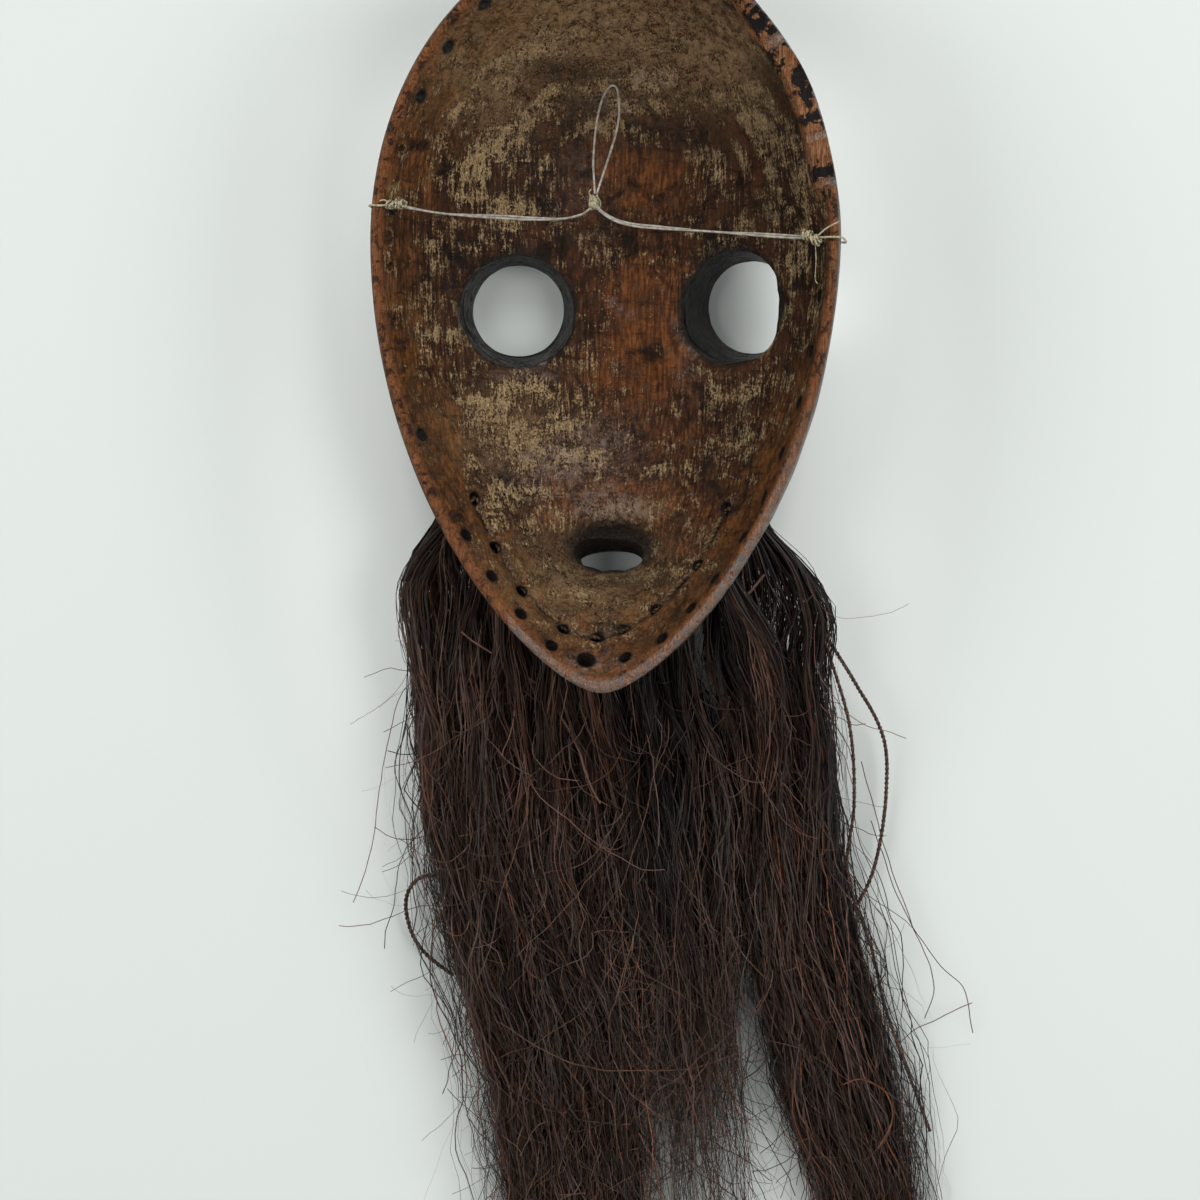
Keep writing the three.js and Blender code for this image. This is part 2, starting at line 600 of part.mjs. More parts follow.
function beard() {
  const mould = toSolid(toGeometry(maskBlock(false, CLEARANCE)).applyMatrix4(maskPlace));
  const tubes = [-1, 1].map((side) => toSolid(toGeometry(eyeTube(side)).applyMatrix4(maskPlace)));
  let taken = joined([mould, ...tubes]);
  return tuftLanes().map((each, i) => {
    const trimmed = tuft(each, JAW_HOLES[i]).subtract(taken);
    taken = taken.add(tuft(each, JAW_HOLES[i], CLEARANCE));
    const bodies = trimmed.decompose();
    return bodies.reduce((best, body) => (body.volume() > best.volume() ? body : best));
  });
}

function named(name, geometry, material) {
  const mesh = new THREE.Mesh(geometry, material);
  mesh.name = name;
  return mesh;
}

function lineSolid(route, radius, steps, knots) {
  const solid = toSolid(cord(route, radius, steps));
  return knots.reduce((rest, [at, size]) => rest.subtract(knotLump(at, size, CLEARANCE)), solid);
}

const middle = LINE_ROUTE.findIndex(([x]) => x === KNOT_MIDDLE[0]);
const leftRoute = LINE_ROUTE.slice(0, middle + 1);
const rightRoute = LINE_ROUTE.slice(middle);

// The mask and everything fixed to it lie in the mask's own rolled frame.
const lying = new THREE.Group();
lying.applyMatrix4(maskPlace);
lying.add(
  named('mask', toGeometry(mask()), DARK_WOOD),
  named('beard_cord', cord(beardCordRoute(), BEARD_CORD_RADIUS, 32, 6), OCHRE_CORD),
  named('knot_left', toGeometry(rimKnot(KNOT_LEFT, -1)), NYLON),
  named('knot_middle', toGeometry(knotLump(KNOT_MIDDLE, MIDDLE_KNOT_SIZE)), NYLON),
  named('knot_right', toGeometry(rimKnot(KNOT_RIGHT, 1)), NYLON),
  named('hanging_line_left', toGeometry(lineSolid(leftRoute, LINE_RADIUS, 12, LINE_KNOTS)), NYLON),
  named('hanging_line_right', toGeometry(lineSolid(rightRoute, LINE_RADIUS, 14, LINE_KNOTS)), NYLON),
  named('hanging_loop', toGeometry(lineSolid(LOOP_ROUTE, LOOP_RADIUS, 26, LINE_KNOTS)), NYLON),
);

const part = new THREE.Group();
part.add(lying);
beard().forEach((solid, i) => {
  part.add(named(`beard_tuft_${i + 1}`, toGeometry(solid), FIBRE));
});
part.position.set(ORIGIN_SHIFT.x, ORIGIN_SHIFT.y, 0);

export default part;
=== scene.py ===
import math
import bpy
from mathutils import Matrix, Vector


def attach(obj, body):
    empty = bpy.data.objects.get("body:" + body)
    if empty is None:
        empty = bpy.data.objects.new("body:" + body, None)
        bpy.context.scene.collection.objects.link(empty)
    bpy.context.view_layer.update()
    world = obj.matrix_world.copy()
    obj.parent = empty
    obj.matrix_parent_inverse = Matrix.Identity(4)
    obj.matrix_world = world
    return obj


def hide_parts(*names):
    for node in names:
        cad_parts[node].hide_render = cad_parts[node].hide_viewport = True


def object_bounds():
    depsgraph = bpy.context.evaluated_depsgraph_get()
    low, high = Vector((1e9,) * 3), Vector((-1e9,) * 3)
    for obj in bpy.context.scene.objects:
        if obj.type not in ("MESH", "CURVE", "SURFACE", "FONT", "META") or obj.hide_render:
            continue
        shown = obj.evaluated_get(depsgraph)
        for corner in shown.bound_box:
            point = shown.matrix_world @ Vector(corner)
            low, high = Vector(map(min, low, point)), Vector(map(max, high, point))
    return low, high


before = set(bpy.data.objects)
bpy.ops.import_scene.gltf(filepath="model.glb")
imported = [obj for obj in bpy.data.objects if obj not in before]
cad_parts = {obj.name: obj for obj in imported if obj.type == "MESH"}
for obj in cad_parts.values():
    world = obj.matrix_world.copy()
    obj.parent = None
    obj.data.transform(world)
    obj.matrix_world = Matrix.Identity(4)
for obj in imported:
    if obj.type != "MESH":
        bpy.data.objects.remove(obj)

# The looks of a carved wooden face mask with a fibre beard, lying face down on a pale table.
from types import SimpleNamespace

import bpy
import numpy as np
from mathutils import Vector

CAD_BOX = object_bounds()

# Shapes are in millimetres in the mask's frame: the rim is z = 0, the face bulges to -z and y runs up it.
MM = 0.001
SEED = 41

# Driving dimensions of the mask, as in the part's source.
HALF_WIDTH = 75
TOP_LENGTH = 95.4
JAW_LENGTH = 144.3
JAW_TAPER = 1.44
CHIN_ROUNDING = 0.26
FACE_DEPTH = 44
FACE_FULLNESS = 2.7
HOLLOW_DEPTH = 41
HOLLOW_FULLNESS = 2.3
HOLLOW_ROUNDING = 0.52
CHIN_THICKENING = 1.5

# The rim looks narrower than the part's, for its inner edge is worn round.
RIM_WIDTH = 3.4
EDGE_EASE = 0.72
EDGE_EASE_RIGHT = 0.15
EDGE_REACH = 0.085

# How the mask lies, as in the part's source.
ROLL = math.radians(10)
RIM_HEIGHT = 61.2
ORIGIN_SHIFT = np.array([-19.7, 146, 0])

EYE_X = 35.2
EYE_SHIFT = 1.5
EYE_Y = -20
EYE_INNER_DEPTH = 35
EYE_OUTER_DEPTH = 56
EYE_INNER_RADIUS = 18.4
EYE_OUTER_RADIUS = 15.2
EYE_TUBE_RADIUS = 19.6
EYE_FLAT = 0.84
EYE_SPLAY = math.radians(11)
EYE_LIFT = math.radians(4)

NOSE = {"root_y": 8, "wing_y": -66, "root_half": 4, "wing_half": 13, "rise": 20}
MOUTH = {"x": -4.4, "y": -102.3, "half_width": 10.2, "half_height": 2.8, "depth": 52}
MOUTH_PIT = {"x": -2.6, "y": -99.3, "half_width": 13, "half_height": 10.2, "depth": 29}
DIP = {"half_width": 15, "above": 10.5, "below": 13, "depth": 9}
LIPS = {"half_width": 17, "bow": 6.4, "half_height": 3.6, "rise": 5.5}
TEETH = 4

# Soft swellings of the face and of the hollow: x, y, half width, half height, rise.
FACE_SWELLINGS = [
    (0, 40, 50, 37, 19.2), (-36, -20, 22, 16, -5), (36, -20, 22, 16, -5), (-33, -62, 18, 22, 3),
    (33, -62, 18, 22, 3), (-3, -101, 22, 17, 12), (0, -128, 13, 8, 4),
]
HOLLOW_SWELLINGS = [(0, 40, 46, 36, 12), (2, -52, 15, 22, 5)]

HOLE_RADIUS = 2.1
HOLE_INSET = 5.5
HOLE_SLOPE = math.radians(40)
JAW_HOLE_SLOPE = math.radians(45)
LEFT_HOLES = [79, 65, 48.5, 31, 11, -8.5, -26.5, -46, -64, -82.5, -97, -110.5, -123, -133.5]
RIGHT_HOLES = [-2, -20, -38, -54.5, -71, -85, -98, -111.5, -121, -131]
CHIN_HOLES = [(-141, -1, 2.9), (-140, 1, 2.1)]
CHIN_HOLE_INSET = 8
FILLED_HOLES = [31, -8.5, -26.5, -46, -82.5]
BROKEN_HOLES = [62, 31, 15.6]
JAW_HOLES = [
    (-43.9, -82.2), (-36.5, -97.8), (-27.4, -111.8), (-13.9, -124.2), (-3.2, -127.1),
    (4.6, -124.5), (14.6, -117.9), (27.8, -103.6), (36.5, -85.7),
]

# The stretch of rim that has broken away.
BREAK = {"from_y": 12, "to_y": 75, "inset": 13, "inner_drop": 4.2, "outer_drop": 6.5}
BREAK_EASE = 0.93
BREAK_REACH = 0.12

# The nylon line: its knots, its route from rim to rim, and the route of the loop at its middle.
STRAND_RADIUS = 0.36
LINE_TWIST = 46
KNOTS = {"left": (-66.4, 11, 0), "middle": (-3.3, 10.8, -7.5), "right": (67.2, -2.2, 0.4)}
RIM_SIDES = {"left": -1, "right": 1}
LINE_ROUTE = [
    (-64.6, 10.5, -1), (-60, 9.6, -1.8), (-52.6, 8.3, -3), (-43, 7.5, -4.4), (-33.6, 7, -5.6),
    (-24, 6.4, -6.6), (-14.3, 6.2, -7.3), (-7.9, 7.4, -7.7), (-5, 9.2, -7.7), (-3.3, 10.6, -7.6),
    (-1.6, 8.6, -7.6), (1.2, 6.6, -7.5), (4.7, 4.9, -7.3), (10, 3.6, -6.9), (17.2, 2.7, -6.2),
    (27, 1.6, -5.1), (36.5, 0.6, -3.9), (48, -0.5, -2.3), (58, -1.5, -0.8), (64, -2, 0.1),
]
LOOP_ROUTE = [
    (-3.4, 14, -7.8), (-3.9, 18.5, -9.4), (-4.8, 24, -13), (-5.4, 29.2, -17.4), (-5.9, 35, -22.6),
    (-6.2, 40.4, -27.8), (-6.2, 45.4, -33), (-5.8, 49.6, -37.6), (-5, 52.6, -41.2), (-3.8, 54, -43),
    (-2.2, 53, -42.2), (-1, 49.4, -38.8), (0, 45.2, -34.4), (0.6, 40.6, -29.4), (0.6, 35, -23.8),
    (0.1, 29.4, -18.2), (-0.7, 23.6, -13.2), (-1.8, 18, -9.6), (-2.8, 14, -8),
]

# Each knot's windings: where their middle is from the knot's, half sizes, turns, lean and phase.
KNOT_WINDINGS = {
    "left": [((0, 0, 0), (3.6, 1.35, 1.2), 5, 1.0, 0.4), ((1.8, 0.2, 0.2), (1.8, 1.2, 1.1), 3, 0.8, 2.1)],
    "middle": [((0, 0, 0), (1.7, 2.0, 1.4), 5, 1.2, 1.3), ((0.1, 1.2, 0.2), (1.2, 1.6, 1.2), 3, 1.0, 3.0)],
    "right": [
        ((-1.9, 0.8, 0.1), (1.6, 1.5, 1.3), 4, 1.0, 0.9), ((0.8, -0.7, 0.1), (1.8, 1.7, 1.4), 4, 1.1, 2.4),
    ],
}

# Each knot's loose tails: their radius, and their route from the knot's middle.
TAIL_RADIUS = 0.27
KNOT_TAILS = {
    "left": [(TAIL_RADIUS, [(-2, 0.6, 0.4), (-3.6, 1.4, 1), (-5, 1.2, 0.8)])],
    "middle": [(TAIL_RADIUS, [(-1.2, 2, 0.3), (-1.6, 3.4, 1), (-1, 4.4, 1.6)])],
    "right": [
        (TAIL_RADIUS, [(1, 0, 0.8), (4.2, 2.6, 1.6), (8.2, 4.6, 1.7)]),
        (TAIL_RADIUS / 2, [(0.6, -1.8, 0.4), (0.9, -7, 0.9), (0.5, -13, -0.4), (1.4, -14.4, -0.3)]),
    ],
}

# The beard on the table, as in the part's source: its three parts' edges at each lane and its tufts' ends.
LANE_Y = [10, -20, -55, -90, -130, -168]
PILE_HEIGHT = [30, 24, 21, 18, 15, 12]
TUFT_GROUPS = [
    ([-66, -67, -60, -52, -41, -35], [-4, -2, -1, 3, 11, 13], [-233, -242, -229, -239]),
    ([-4, -2, -1, 3, 11, 13], [33, 42, 43, 45, 47, 50], [-211, -221, -207]),
    ([35, 43, 45, 50, 58, 72], [81, 85, 88, 96, 107, 113], [-237, -243]),
]
ROOT_RADIUS = 6
STRAY_REACH = 11

# Strings twisted from two plies that hang beside the beard, by the number of the tuft they belong to.
STRING_PITCH = 3.2
STRING_PLY_RADIUS = 0.42
STRING_PLY_OFFSET = 0.38
TWISTED_STRINGS = {
    0: [[
        (-62, -62, 14), (-74, -60, 11), (-81, -62, 8), (-84.5, -69, 6),
        (-83, -79, 4), (-78, -87, 3), (-69, -94, 3),
    ]],
    8: [[
        (46, 30, 26), (56, 16, 22), (65, 2, 16), (72, -10, 12),
        (75, -22, 9), (74, -44, 6), (69, -64, 5), (58, -80, 6),
    ], [
        (54, 16, 24), (62, -10, 17), (64, -36, 12), (62, -60, 9),
        (70, -84, 6), (76, -108, 4), (90, -146, 3),
    ]],
}

# Single strands that stand out, by the number of their tuft: their tint, width and route.
SINGLE_STRANDS = {
    0: [(0.9, 0.6, [(-64.8, 21, 36), (-50, 10, 34), (-34.9, -2.2, 31), (-20, -35.4, 26)])],
    3: [(0.6, 0.5, [(-53, -108, 19), (-26.6, -121.7, 20), (6.6, -123.4, 16), (26.5, -118, 16)])],
    7: [(0.9, 0.9, [(18.2, 22.7, 34), (26, 31, 37), (33.1, 39.3, 38)])],
    8: [
        (1.0, 0.45, [
            (59.7, -128.4, 16), (66.3, -126.7, 17), (74.6, -131.7, 16), (76.3, -141.6, 14), (71.3, -150, 14),
        ]),
        (0.6, 0.35, [
            (69.6, -42, 9), (79.6, -68.6, 6), (91.2, -88.5, 5), (101.2, -98.5, 4), (104, -113.4, 3),
        ]),
        (0.6, 0.35, [
            (66.3, -22, 12), (74.6, -52, 8), (84.6, -78.6, 6), (91.2, -96.8, 4), (87.9, -108.5, 3),
        ]),
        (0.9, 0.4, [(78, -118, 5), (84, -113, 3), (94, -107, 5), (104, -103, 4)]),
    ],
}

# The camera looks straight down at this point of the table, with this much width in view at this distance.
CAMERA_OVER = (-20.0, 31.0)
CAMERA_HEIGHT = 1061
VIEW_WIDTH = 378
VIEW_DISTANCE = 1000

# The table is painted lighter in a soft ring beside the mask: painted light that cancels the mask's shadow
# where it falls.
PAINTED_LIGHT_RING = {
    "middle": (-19, 110, 0), "half_size": (82, 150, 1000), "fades": 185, "ends": 240,
    "inner_edge": (0.7, 0.88), "outer_edge": (1.6, 0.95),
}

# The table's half size, and how far it lies under the part's lowest point.
TABLE_HALF = 3000
TABLE_GAP = 0.2

# The light from the room and from the three softboxes, and the point, in metres, that these face.
ROOM_LIGHT = 0.5
OVERHEAD_LIGHT = 0.07
LEFT_LIGHT = 20
RIGHT_LIGHT = 26
TOP_LIGHT = 15
LIGHT_TARGET = (-0.02, 0.03, 0.03)

# Colours as they look on a screen, 0 to 255.
COLOURS = {
    # The table's colour, and the lighter colour painted where the mask's shadow falls.
    "table": (207, 212, 208), "table_ring": (240, 244, 240),
    "nylon_dark": (136, 128, 116), "nylon": (184, 178, 166),
    "knot_dark": (120, 108, 78), "knot": (190, 180, 150),
    "umber_dark": (30, 18, 12), "umber": (62, 38, 24),
    "umber_streak": (98, 60, 33), "umber_patch": (24, 15, 11),
    "red_dark": (92, 50, 24), "red": (142, 86, 44), "red_patch": (46, 26, 15),
    "amber_dark": (76, 46, 23), "amber": (126, 80, 41), "amber_patch": (46, 28, 17),
    "grime": (15, 10, 8), "smudge": (74, 57, 44), "dash": (24, 15, 11),
    "ochre_dark": (112, 90, 58), "ochre": (194, 165, 122), "ochre_blotch": (140, 120, 92),
    # The haze colour is partly pale wear and partly a painted sheen.
    "dust": (158, 128, 92), "stain": (22, 18, 18), "haze": (140, 122, 112), "fleck": (196, 180, 156),
    "copper_dark": (88, 50, 26), "copper": (136, 84, 48),
    "copper_streak": (150, 102, 66), "copper_scuff": (50, 30, 20),
    "raw_dark": (96, 58, 35), "raw": (158, 110, 72), "charred": (26, 21, 20),
    "front_dark": (24, 20, 18), "front": (48, 38, 31),
    "front_streak": (66, 52, 41), "front_dirt": (90, 74, 54),
    # Below, the worn colour also paints a reflection on the right outer wall, the burnt colours also paint
    # shade in the cord's groove, and the scar colour also paints glints by the eyes.
    "worn": (150, 144, 138), "burnt_dark": (17, 15, 13), "burnt": (38, 34, 31), "scar": (128, 112, 104),
    "fibre_dark": (12, 8, 7), "fibre": (106, 74, 58),
    "fibre_copper": (124, 70, 38), "fibre_patch": (22, 16, 14),
    "cord_dark": (50, 35, 22), "cord": (112, 88, 58),
}


# Arithmetic on arrays.
def lerp(a, b, t):
    return a + (b - a) * t


def bell(value, width):
    """1 where the value is 0, and nearly 0 at twice the width."""
    return np.exp(-((value / width) ** 2))


def smooth(low, high, value):
    t = np.clip((value - low) / (high - low), 0, 1)
    return t * t * (3 - 2 * t)


def unit(vectors):
    vectors = np.asarray(vectors, float)
    return vectors / np.maximum(np.linalg.norm(vectors, axis=-1, keepdims=True), 1e-12)


def lattice(cells, seed):
    """A repeatable number from 0 to 1 for each whole-number cell."""
    keys = cells.astype(np.int64).astype(np.uint64)
    mixed = keys[..., 0] * np.uint64(73856093) ^ keys[..., 1] * np.uint64(19349663)
    mixed = mixed ^ keys[..., 2] * np.uint64(83492791) ^ np.uint64(seed * 2654435761)
    mixed = (mixed ^ (mixed >> np.uint64(15))) * np.uint64(2246822519)
    mixed = (mixed ^ (mixed >> np.uint64(13))) * np.uint64(3266489917)
    return ((mixed ^ (mixed >> np.uint64(16))) & np.uint64(0xFFFFFF)).astype(float) / 0xFFFFFF


def noise(points, lump, seed=0):
    """Smooth noise from -1 to 1. lump is the size of one lump along each axis."""
    places = np.asarray(points, float) / np.asarray(lump, float)
    cells = np.floor(places)
    share = places - cells
    share = share * share * (3 - 2 * share)
    total = np.zeros(places.shape[:-1])
    for corner in range(8):
        step = np.array([corner & 1, corner >> 1 & 1, corner >> 2])
        weight = np.prod(np.where(step, share, 1 - share), axis=-1)
        total += weight * lattice(cells + step, SEED + seed)
    return total * 2 - 1


def fractal(points, lump, octaves, seed=0):
    total = 0
    for octave in range(octaves):
        total = total + 0.5**octave * noise(points, np.asarray(lump, float) / 2**octave, seed + 7 * octave)
    return total


# From the mask's frame to the row's, both in millimetres, and back.
def to_row(points):
    points = np.asarray(points, float)
    x, y, z = points[..., 0], points[..., 1], points[..., 2]
    across = x * math.cos(ROLL) - z * math.sin(ROLL)
    height = x * math.sin(ROLL) + z * math.cos(ROLL) + RIM_HEIGHT
    return np.stack([across, y, height], axis=-1) + ORIGIN_SHIFT


def to_mask(points):
    moved = np.asarray(points, float) - ORIGIN_SHIFT - (0, 0, RIM_HEIGHT)
    x, y, z = moved[..., 0], moved[..., 1], moved[..., 2]
    across = x * math.cos(ROLL) + z * math.sin(ROLL)
    return np.stack([across, y, z * math.cos(ROLL) - x * math.sin(ROLL)], axis=-1)


# The mask's outline and its two sides.
def taper(cosine):
    """How much the jaw draws in at this height, with a blunt tip."""
    return ((cosine**2 + CHIN_ROUNDING**2) / (1 + CHIN_ROUNDING**2)) ** ((JAW_TAPER - 1) / 2)


def outline(across, turn, inset=0.0):
    jaw = turn < 0
    cosine = np.maximum(np.cos(turn), 0)
    narrowing = cosine * np.where(jaw, taper(cosine), 1.0)
    length = np.where(jaw, JAW_LENGTH - CHIN_THICKENING * inset, TOP_LENGTH - inset)
    return (HALF_WIDTH - inset) * across * narrowing, length * np.sin(turn)


def reach(x, y, inset=0.0):
    length = np.where(y < 0, JAW_LENGTH - CHIN_THICKENING * inset, TOP_LENGTH - inset)
    v = np.clip(y / length, -1, 1)
    cosine = np.sqrt(np.maximum(1 - v * v, 1e-9))
    u = x / ((HALF_WIDTH - inset) * np.where(y < 0, taper(cosine), 1.0))
    return np.minimum(np.hypot(u, v), 1.0)


def swell(swellings, x, y):
    return sum(
        rise * np.exp(-(((x - at_x) / half_width) ** 2) - ((y - at_y) / half_height) ** 2)
        for at_x, at_y, half_width, half_height, rise in swellings
    )


def nose_rise(x, y):
    along = (NOSE["root_y"] - y) / (NOSE["root_y"] - NOSE["wing_y"])
    share = np.clip(along, 0, 1)
    tucked = 1 - smooth(0.98, 1.13, along)
    half_width = lerp(NOSE["root_half"], NOSE["wing_half"], share**1.6)
    ridge = 1 - smooth(0.3, 1.2, np.abs(x) / half_width)
    wings = 3.2 * np.exp(-(((np.abs(x) - 9.5) / 4) ** 2) - ((y - NOSE["wing_y"] - 5) / 7) ** 2)
    rise = lerp(1, NOSE["rise"], share) * smooth(-0.2, 0.05, along)
    return (rise * ridge + wings) * tucked


def lip_rise(x, y):
    share = np.abs(x - MOUTH["x"]) / LIPS["half_width"]
    full = np.sqrt(np.maximum(1 - 0.9 * np.minimum(share, 1) ** 2, 0)) * (1 - smooth(1, 1.2, share))
    total = 0
    for side in (-1, 1):
        middle = MOUTH["y"] + side * LIPS["bow"] * full
        band = np.exp(-(((y - middle) / (LIPS["half_height"] * full + 0.6)) ** 4))
        total = total + LIPS["rise"] * full * band
    return total


def brow_rise(x, y):
    arch = 9 - 0.006 * (np.abs(x) - 30) ** 2
    arcs = 2.4 * bell(y - arch, 5) * smooth(4, 14, np.abs(x)) * (1 - smooth(50, 62, np.abs(x)))
    seam = 1.6 * bell(x, 2.6) * smooth(14, 24, y) * (1 - smooth(72, 86, y))
    return arcs + seam


def face_depth(x, y):
    dome = FACE_DEPTH * (1 - reach(x, y) ** FACE_FULLNESS) ** (1 / FACE_FULLNESS)
    fade = smooth(0, 0.35, dome / FACE_DEPTH)
    return dome + fade * swell(FACE_SWELLINGS, x, y)


def carved_face_depth(x, y):
    fade = smooth(0.1, 0.5, face_depth(x, y) / FACE_DEPTH)
    return face_depth(x, y) + fade * (nose_rise(x, y) + lip_rise(x, y) + brow_rise(x, y))


def mouth_dip(x, y):
    """The soft dip round the mouth, steeper above than below."""
    half_height = np.where(y > MOUTH_PIT["y"], DIP["above"], DIP["below"])
    away = np.hypot((x - MOUTH_PIT["x"]) / DIP["half_width"], (y - MOUTH_PIT["y"]) / half_height)
    return DIP["depth"] * np.exp(-(away**3))


def hollow_depth(x, y):
    from_edge = 1 - reach(x, y, RIM_WIDTH)
    bowl = HOLLOW_DEPTH * (1 - (1 - from_edge) ** HOLLOW_FULLNESS) ** HOLLOW_ROUNDING
    side = lerp(1, EDGE_EASE_RIGHT, smooth(-10, 40, x) * smooth(-120, -90, y))
    broken = smooth(-2, 20, y) * (1 - smooth(72, 90, y)) * smooth(20, 45, x)
    ease, ease_reach = lerp(EDGE_EASE * side, BREAK_EASE, broken), lerp(EDGE_REACH, BREAK_REACH, broken)
    eased = bowl * (1 - ease * np.exp(-from_edge / ease_reach))
    return eased + smooth(0, 0.6, bowl / HOLLOW_DEPTH) * (swell(HOLLOW_SWELLINGS, x, y) + mouth_dip(x, y))


def edge_at(y, side):
    """The outline's point at y on one side, and the direction straight out of it."""
    def turn_at(height):
        return math.asin(height / (JAW_LENGTH if height < 0 else TOP_LENGTH))
    step = 0.5
    x, _ = outline(side, turn_at(y))
    before = outline(side, turn_at(y - step))
    after = outline(side, turn_at(y + step))
    outward = unit([side * (after[1] - before[1]), -side * (after[0] - before[0]), 0])
    return np.array([float(x), y, 0.0]), outward


def slanting(outward, slope):
    return np.array([*(outward[:2] * math.cos(slope)), -math.sin(slope)])


def jaw_hole_direction(x, y):
    _, outward = edge_at(max(y - 6, -JAW_LENGTH + 4), 1 if x >= 0 else -1)
    return slanting(outward, JAW_HOLE_SLOPE)


# Meshes from arrays, in millimetres in the row's frame.
def add_object(name, data):
    made = bpy.data.objects.new(name, data)
    bpy.context.scene.collection.objects.link(made)
    return made


def mesh_object(name, points, quads=(), triangles=()):
    """A smooth-shaded mesh object. quads and triangles are arrays of point numbers."""
    quads = np.asarray(quads, np.int32).reshape(-1, 4)
    triangles = np.asarray(triangles, np.int32).reshape(-1, 3)
    mesh = bpy.data.meshes.new(name)
    mesh.vertices.add(len(points))
    mesh.vertices.foreach_set("co", (np.asarray(points, float) * MM).astype(np.float32).ravel())
    corners = np.concatenate([quads.ravel(), triangles.ravel()])
    mesh.loops.add(len(corners))
    mesh.loops.foreach_set("vertex_index", corners)
    sizes = np.concatenate([np.full(len(quads), 4), np.full(len(triangles), 3)]).astype(np.int32)
    starts = np.concatenate([[0], np.cumsum(sizes)[:-1]]).astype(np.int32)
    mesh.polygons.add(len(sizes))
    mesh.polygons.foreach_set("loop_start", starts)
    mesh.polygons.foreach_set("use_smooth", np.ones(len(sizes), bool))
    mesh.update(calc_edges=True)
    mesh.validate()
    return add_object(name, mesh)


def add_attribute(obj, name, values):
    layer = obj.data.attributes.new(name, "FLOAT", "POINT")
    layer.data.foreach_set("value", np.asarray(values, np.float32))


def piece(obj, slot, *nodes):
    """Puts a finished piece on the object, in place of these nodes."""
    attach(obj, "root")
    if nodes:
        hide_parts(*nodes)
    return obj


def smooth_path(route, steps):
    """Points along a smooth curve through a route, about evenly spaced."""
    route = np.asarray(route, float)
    padded = np.vstack([2 * route[0] - route[1], route, 2 * route[-1] - route[-2]])
    parts = []
    for i in range(len(route) - 1):
        a, b, c, d = padded[i:i + 4]
        t = np.linspace(0, 1, 12, endpoint=False)[:, None]
        parts.append(0.5 * (2 * b + (c - a) * t + (2 * a - 5 * b + 4 * c - d) * t**2
                            + (3 * b - a - 3 * c + d) * t**3))
    fine = np.vstack([*parts, route[-1:]])
    lengths = np.concatenate([[0], np.cumsum(np.linalg.norm(np.diff(fine, axis=0), axis=1))])
    even = np.linspace(0, lengths[-1], steps)
    return np.stack([np.interp(even, lengths, fine[:, k]) for k in range(3)], axis=1)


def path_length(points):
    return float(np.linalg.norm(np.diff(points, axis=0), axis=1).sum())


def frames_along(paths):
    """Two directions square to each of many paths, which turn as little as they can."""
    tangents = unit(np.gradient(paths, axis=1))
    helper = np.zeros(tangents[:, 0].shape)
    helper[..., 2] = 1
    helper[np.abs(tangents[:, 0, 2]) > 0.9] = (1, 0, 0)
    sideways = unit(np.cross(tangents[:, 0], helper))
    first = np.empty_like(tangents)
    first[:, 0] = sideways
    for i in range(1, paths.shape[1]):
        sideways = unit(sideways - (sideways * tangents[:, i]).sum(-1, keepdims=True) * tangents[:, i])
        first[:, i] = sideways
    return first, np.cross(tangents, first)


def skins(rings):
    """Skins over stacks of rings, shaped (stacks, rings, sides, 3): points, quads and end triangles."""
    count, length, sides, _ = rings.shape
    number = np.arange(count * length * sides).reshape(count, length, sides)
    beside = np.roll(number, -1, axis=2)
    quads = np.stack([number[:, :-1], beside[:, :-1], beside[:, 1:], number[:, 1:]], axis=-1).reshape(-1, 4)
    caps = []
    for k in range(1, sides - 1):
        caps.append(np.stack([number[:, 0, 0], number[:, 0, k + 1], number[:, 0, k]], axis=-1))
        caps.append(np.stack([number[:, -1, 0], number[:, -1, k], number[:, -1, k + 1]], axis=-1))
    return rings.reshape(-1, 3), quads, np.concatenate(caps)


def tubes(paths, radii, sides):
    """Closed tubes round many paths. radii is shaped (paths, points)."""
    first, second = frames_along(paths)
    angles = np.arange(sides) * 2 * math.pi / sides
    ring = first[:, :, None] * np.cos(angles)[:, None] + second[:, :, None] * np.sin(angles)[:, None]
    return skins(paths[:, :, None] + ring * radii[:, :, None, None])


def merged(parts):
    """Several (points, quads, triangles) as one."""
    points, quads, triangles, offset = [], [], [], 0
    for part_points, part_quads, part_triangles in parts:
        points.append(part_points)
        quads.append(np.asarray(part_quads, int).reshape(-1, 4) + offset)
        triangles.append(np.asarray(part_triangles, int).reshape(-1, 3) + offset)
        offset += len(part_points)
    return np.concatenate(points), np.concatenate(quads), np.concatenate(triangles)


def loft(rings):
    """A closed skin over a stack of rings, each an array of points."""
    return skins(np.asarray(rings, float)[None])


def bar(start, end, start_radius, end_radius, sides, rings=2, profile=None):
    """A round bar between two points. profile turns the share along it into an extra radius."""
    start, end = np.asarray(start, float), np.asarray(end, float)
    axis = unit(end - start)
    helper = np.array([0, 1, 0]) if abs(axis[1]) < 0.9 else np.array([1, 0, 0])
    first = unit(np.cross(axis, helper))
    second = np.cross(axis, first)
    angles = np.arange(sides) * 2 * math.pi / sides
    circle = np.cos(angles)[:, None] * first + np.sin(angles)[:, None] * second
    stack = []
    for share in np.linspace(0, 1, rings):
        radius = lerp(start_radius, end_radius, share) + (profile(share) if profile else 0)
        stack.append(lerp(start, end, share) + circle * radius)
    return loft(stack)


# The camera.
def make_camera():
    data = bpy.data.cameras.new("camera")
    data.sensor_width = 36
    data.lens = data.sensor_width / (VIEW_WIDTH / VIEW_DISTANCE)
    data.clip_start = 0.05
    data.clip_end = 20
    camera = add_object("camera", data)
    camera.location = (CAMERA_OVER[0] * MM, CAMERA_OVER[1] * MM, CAMERA_HEIGHT * MM)
    bpy.context.scene.camera = camera


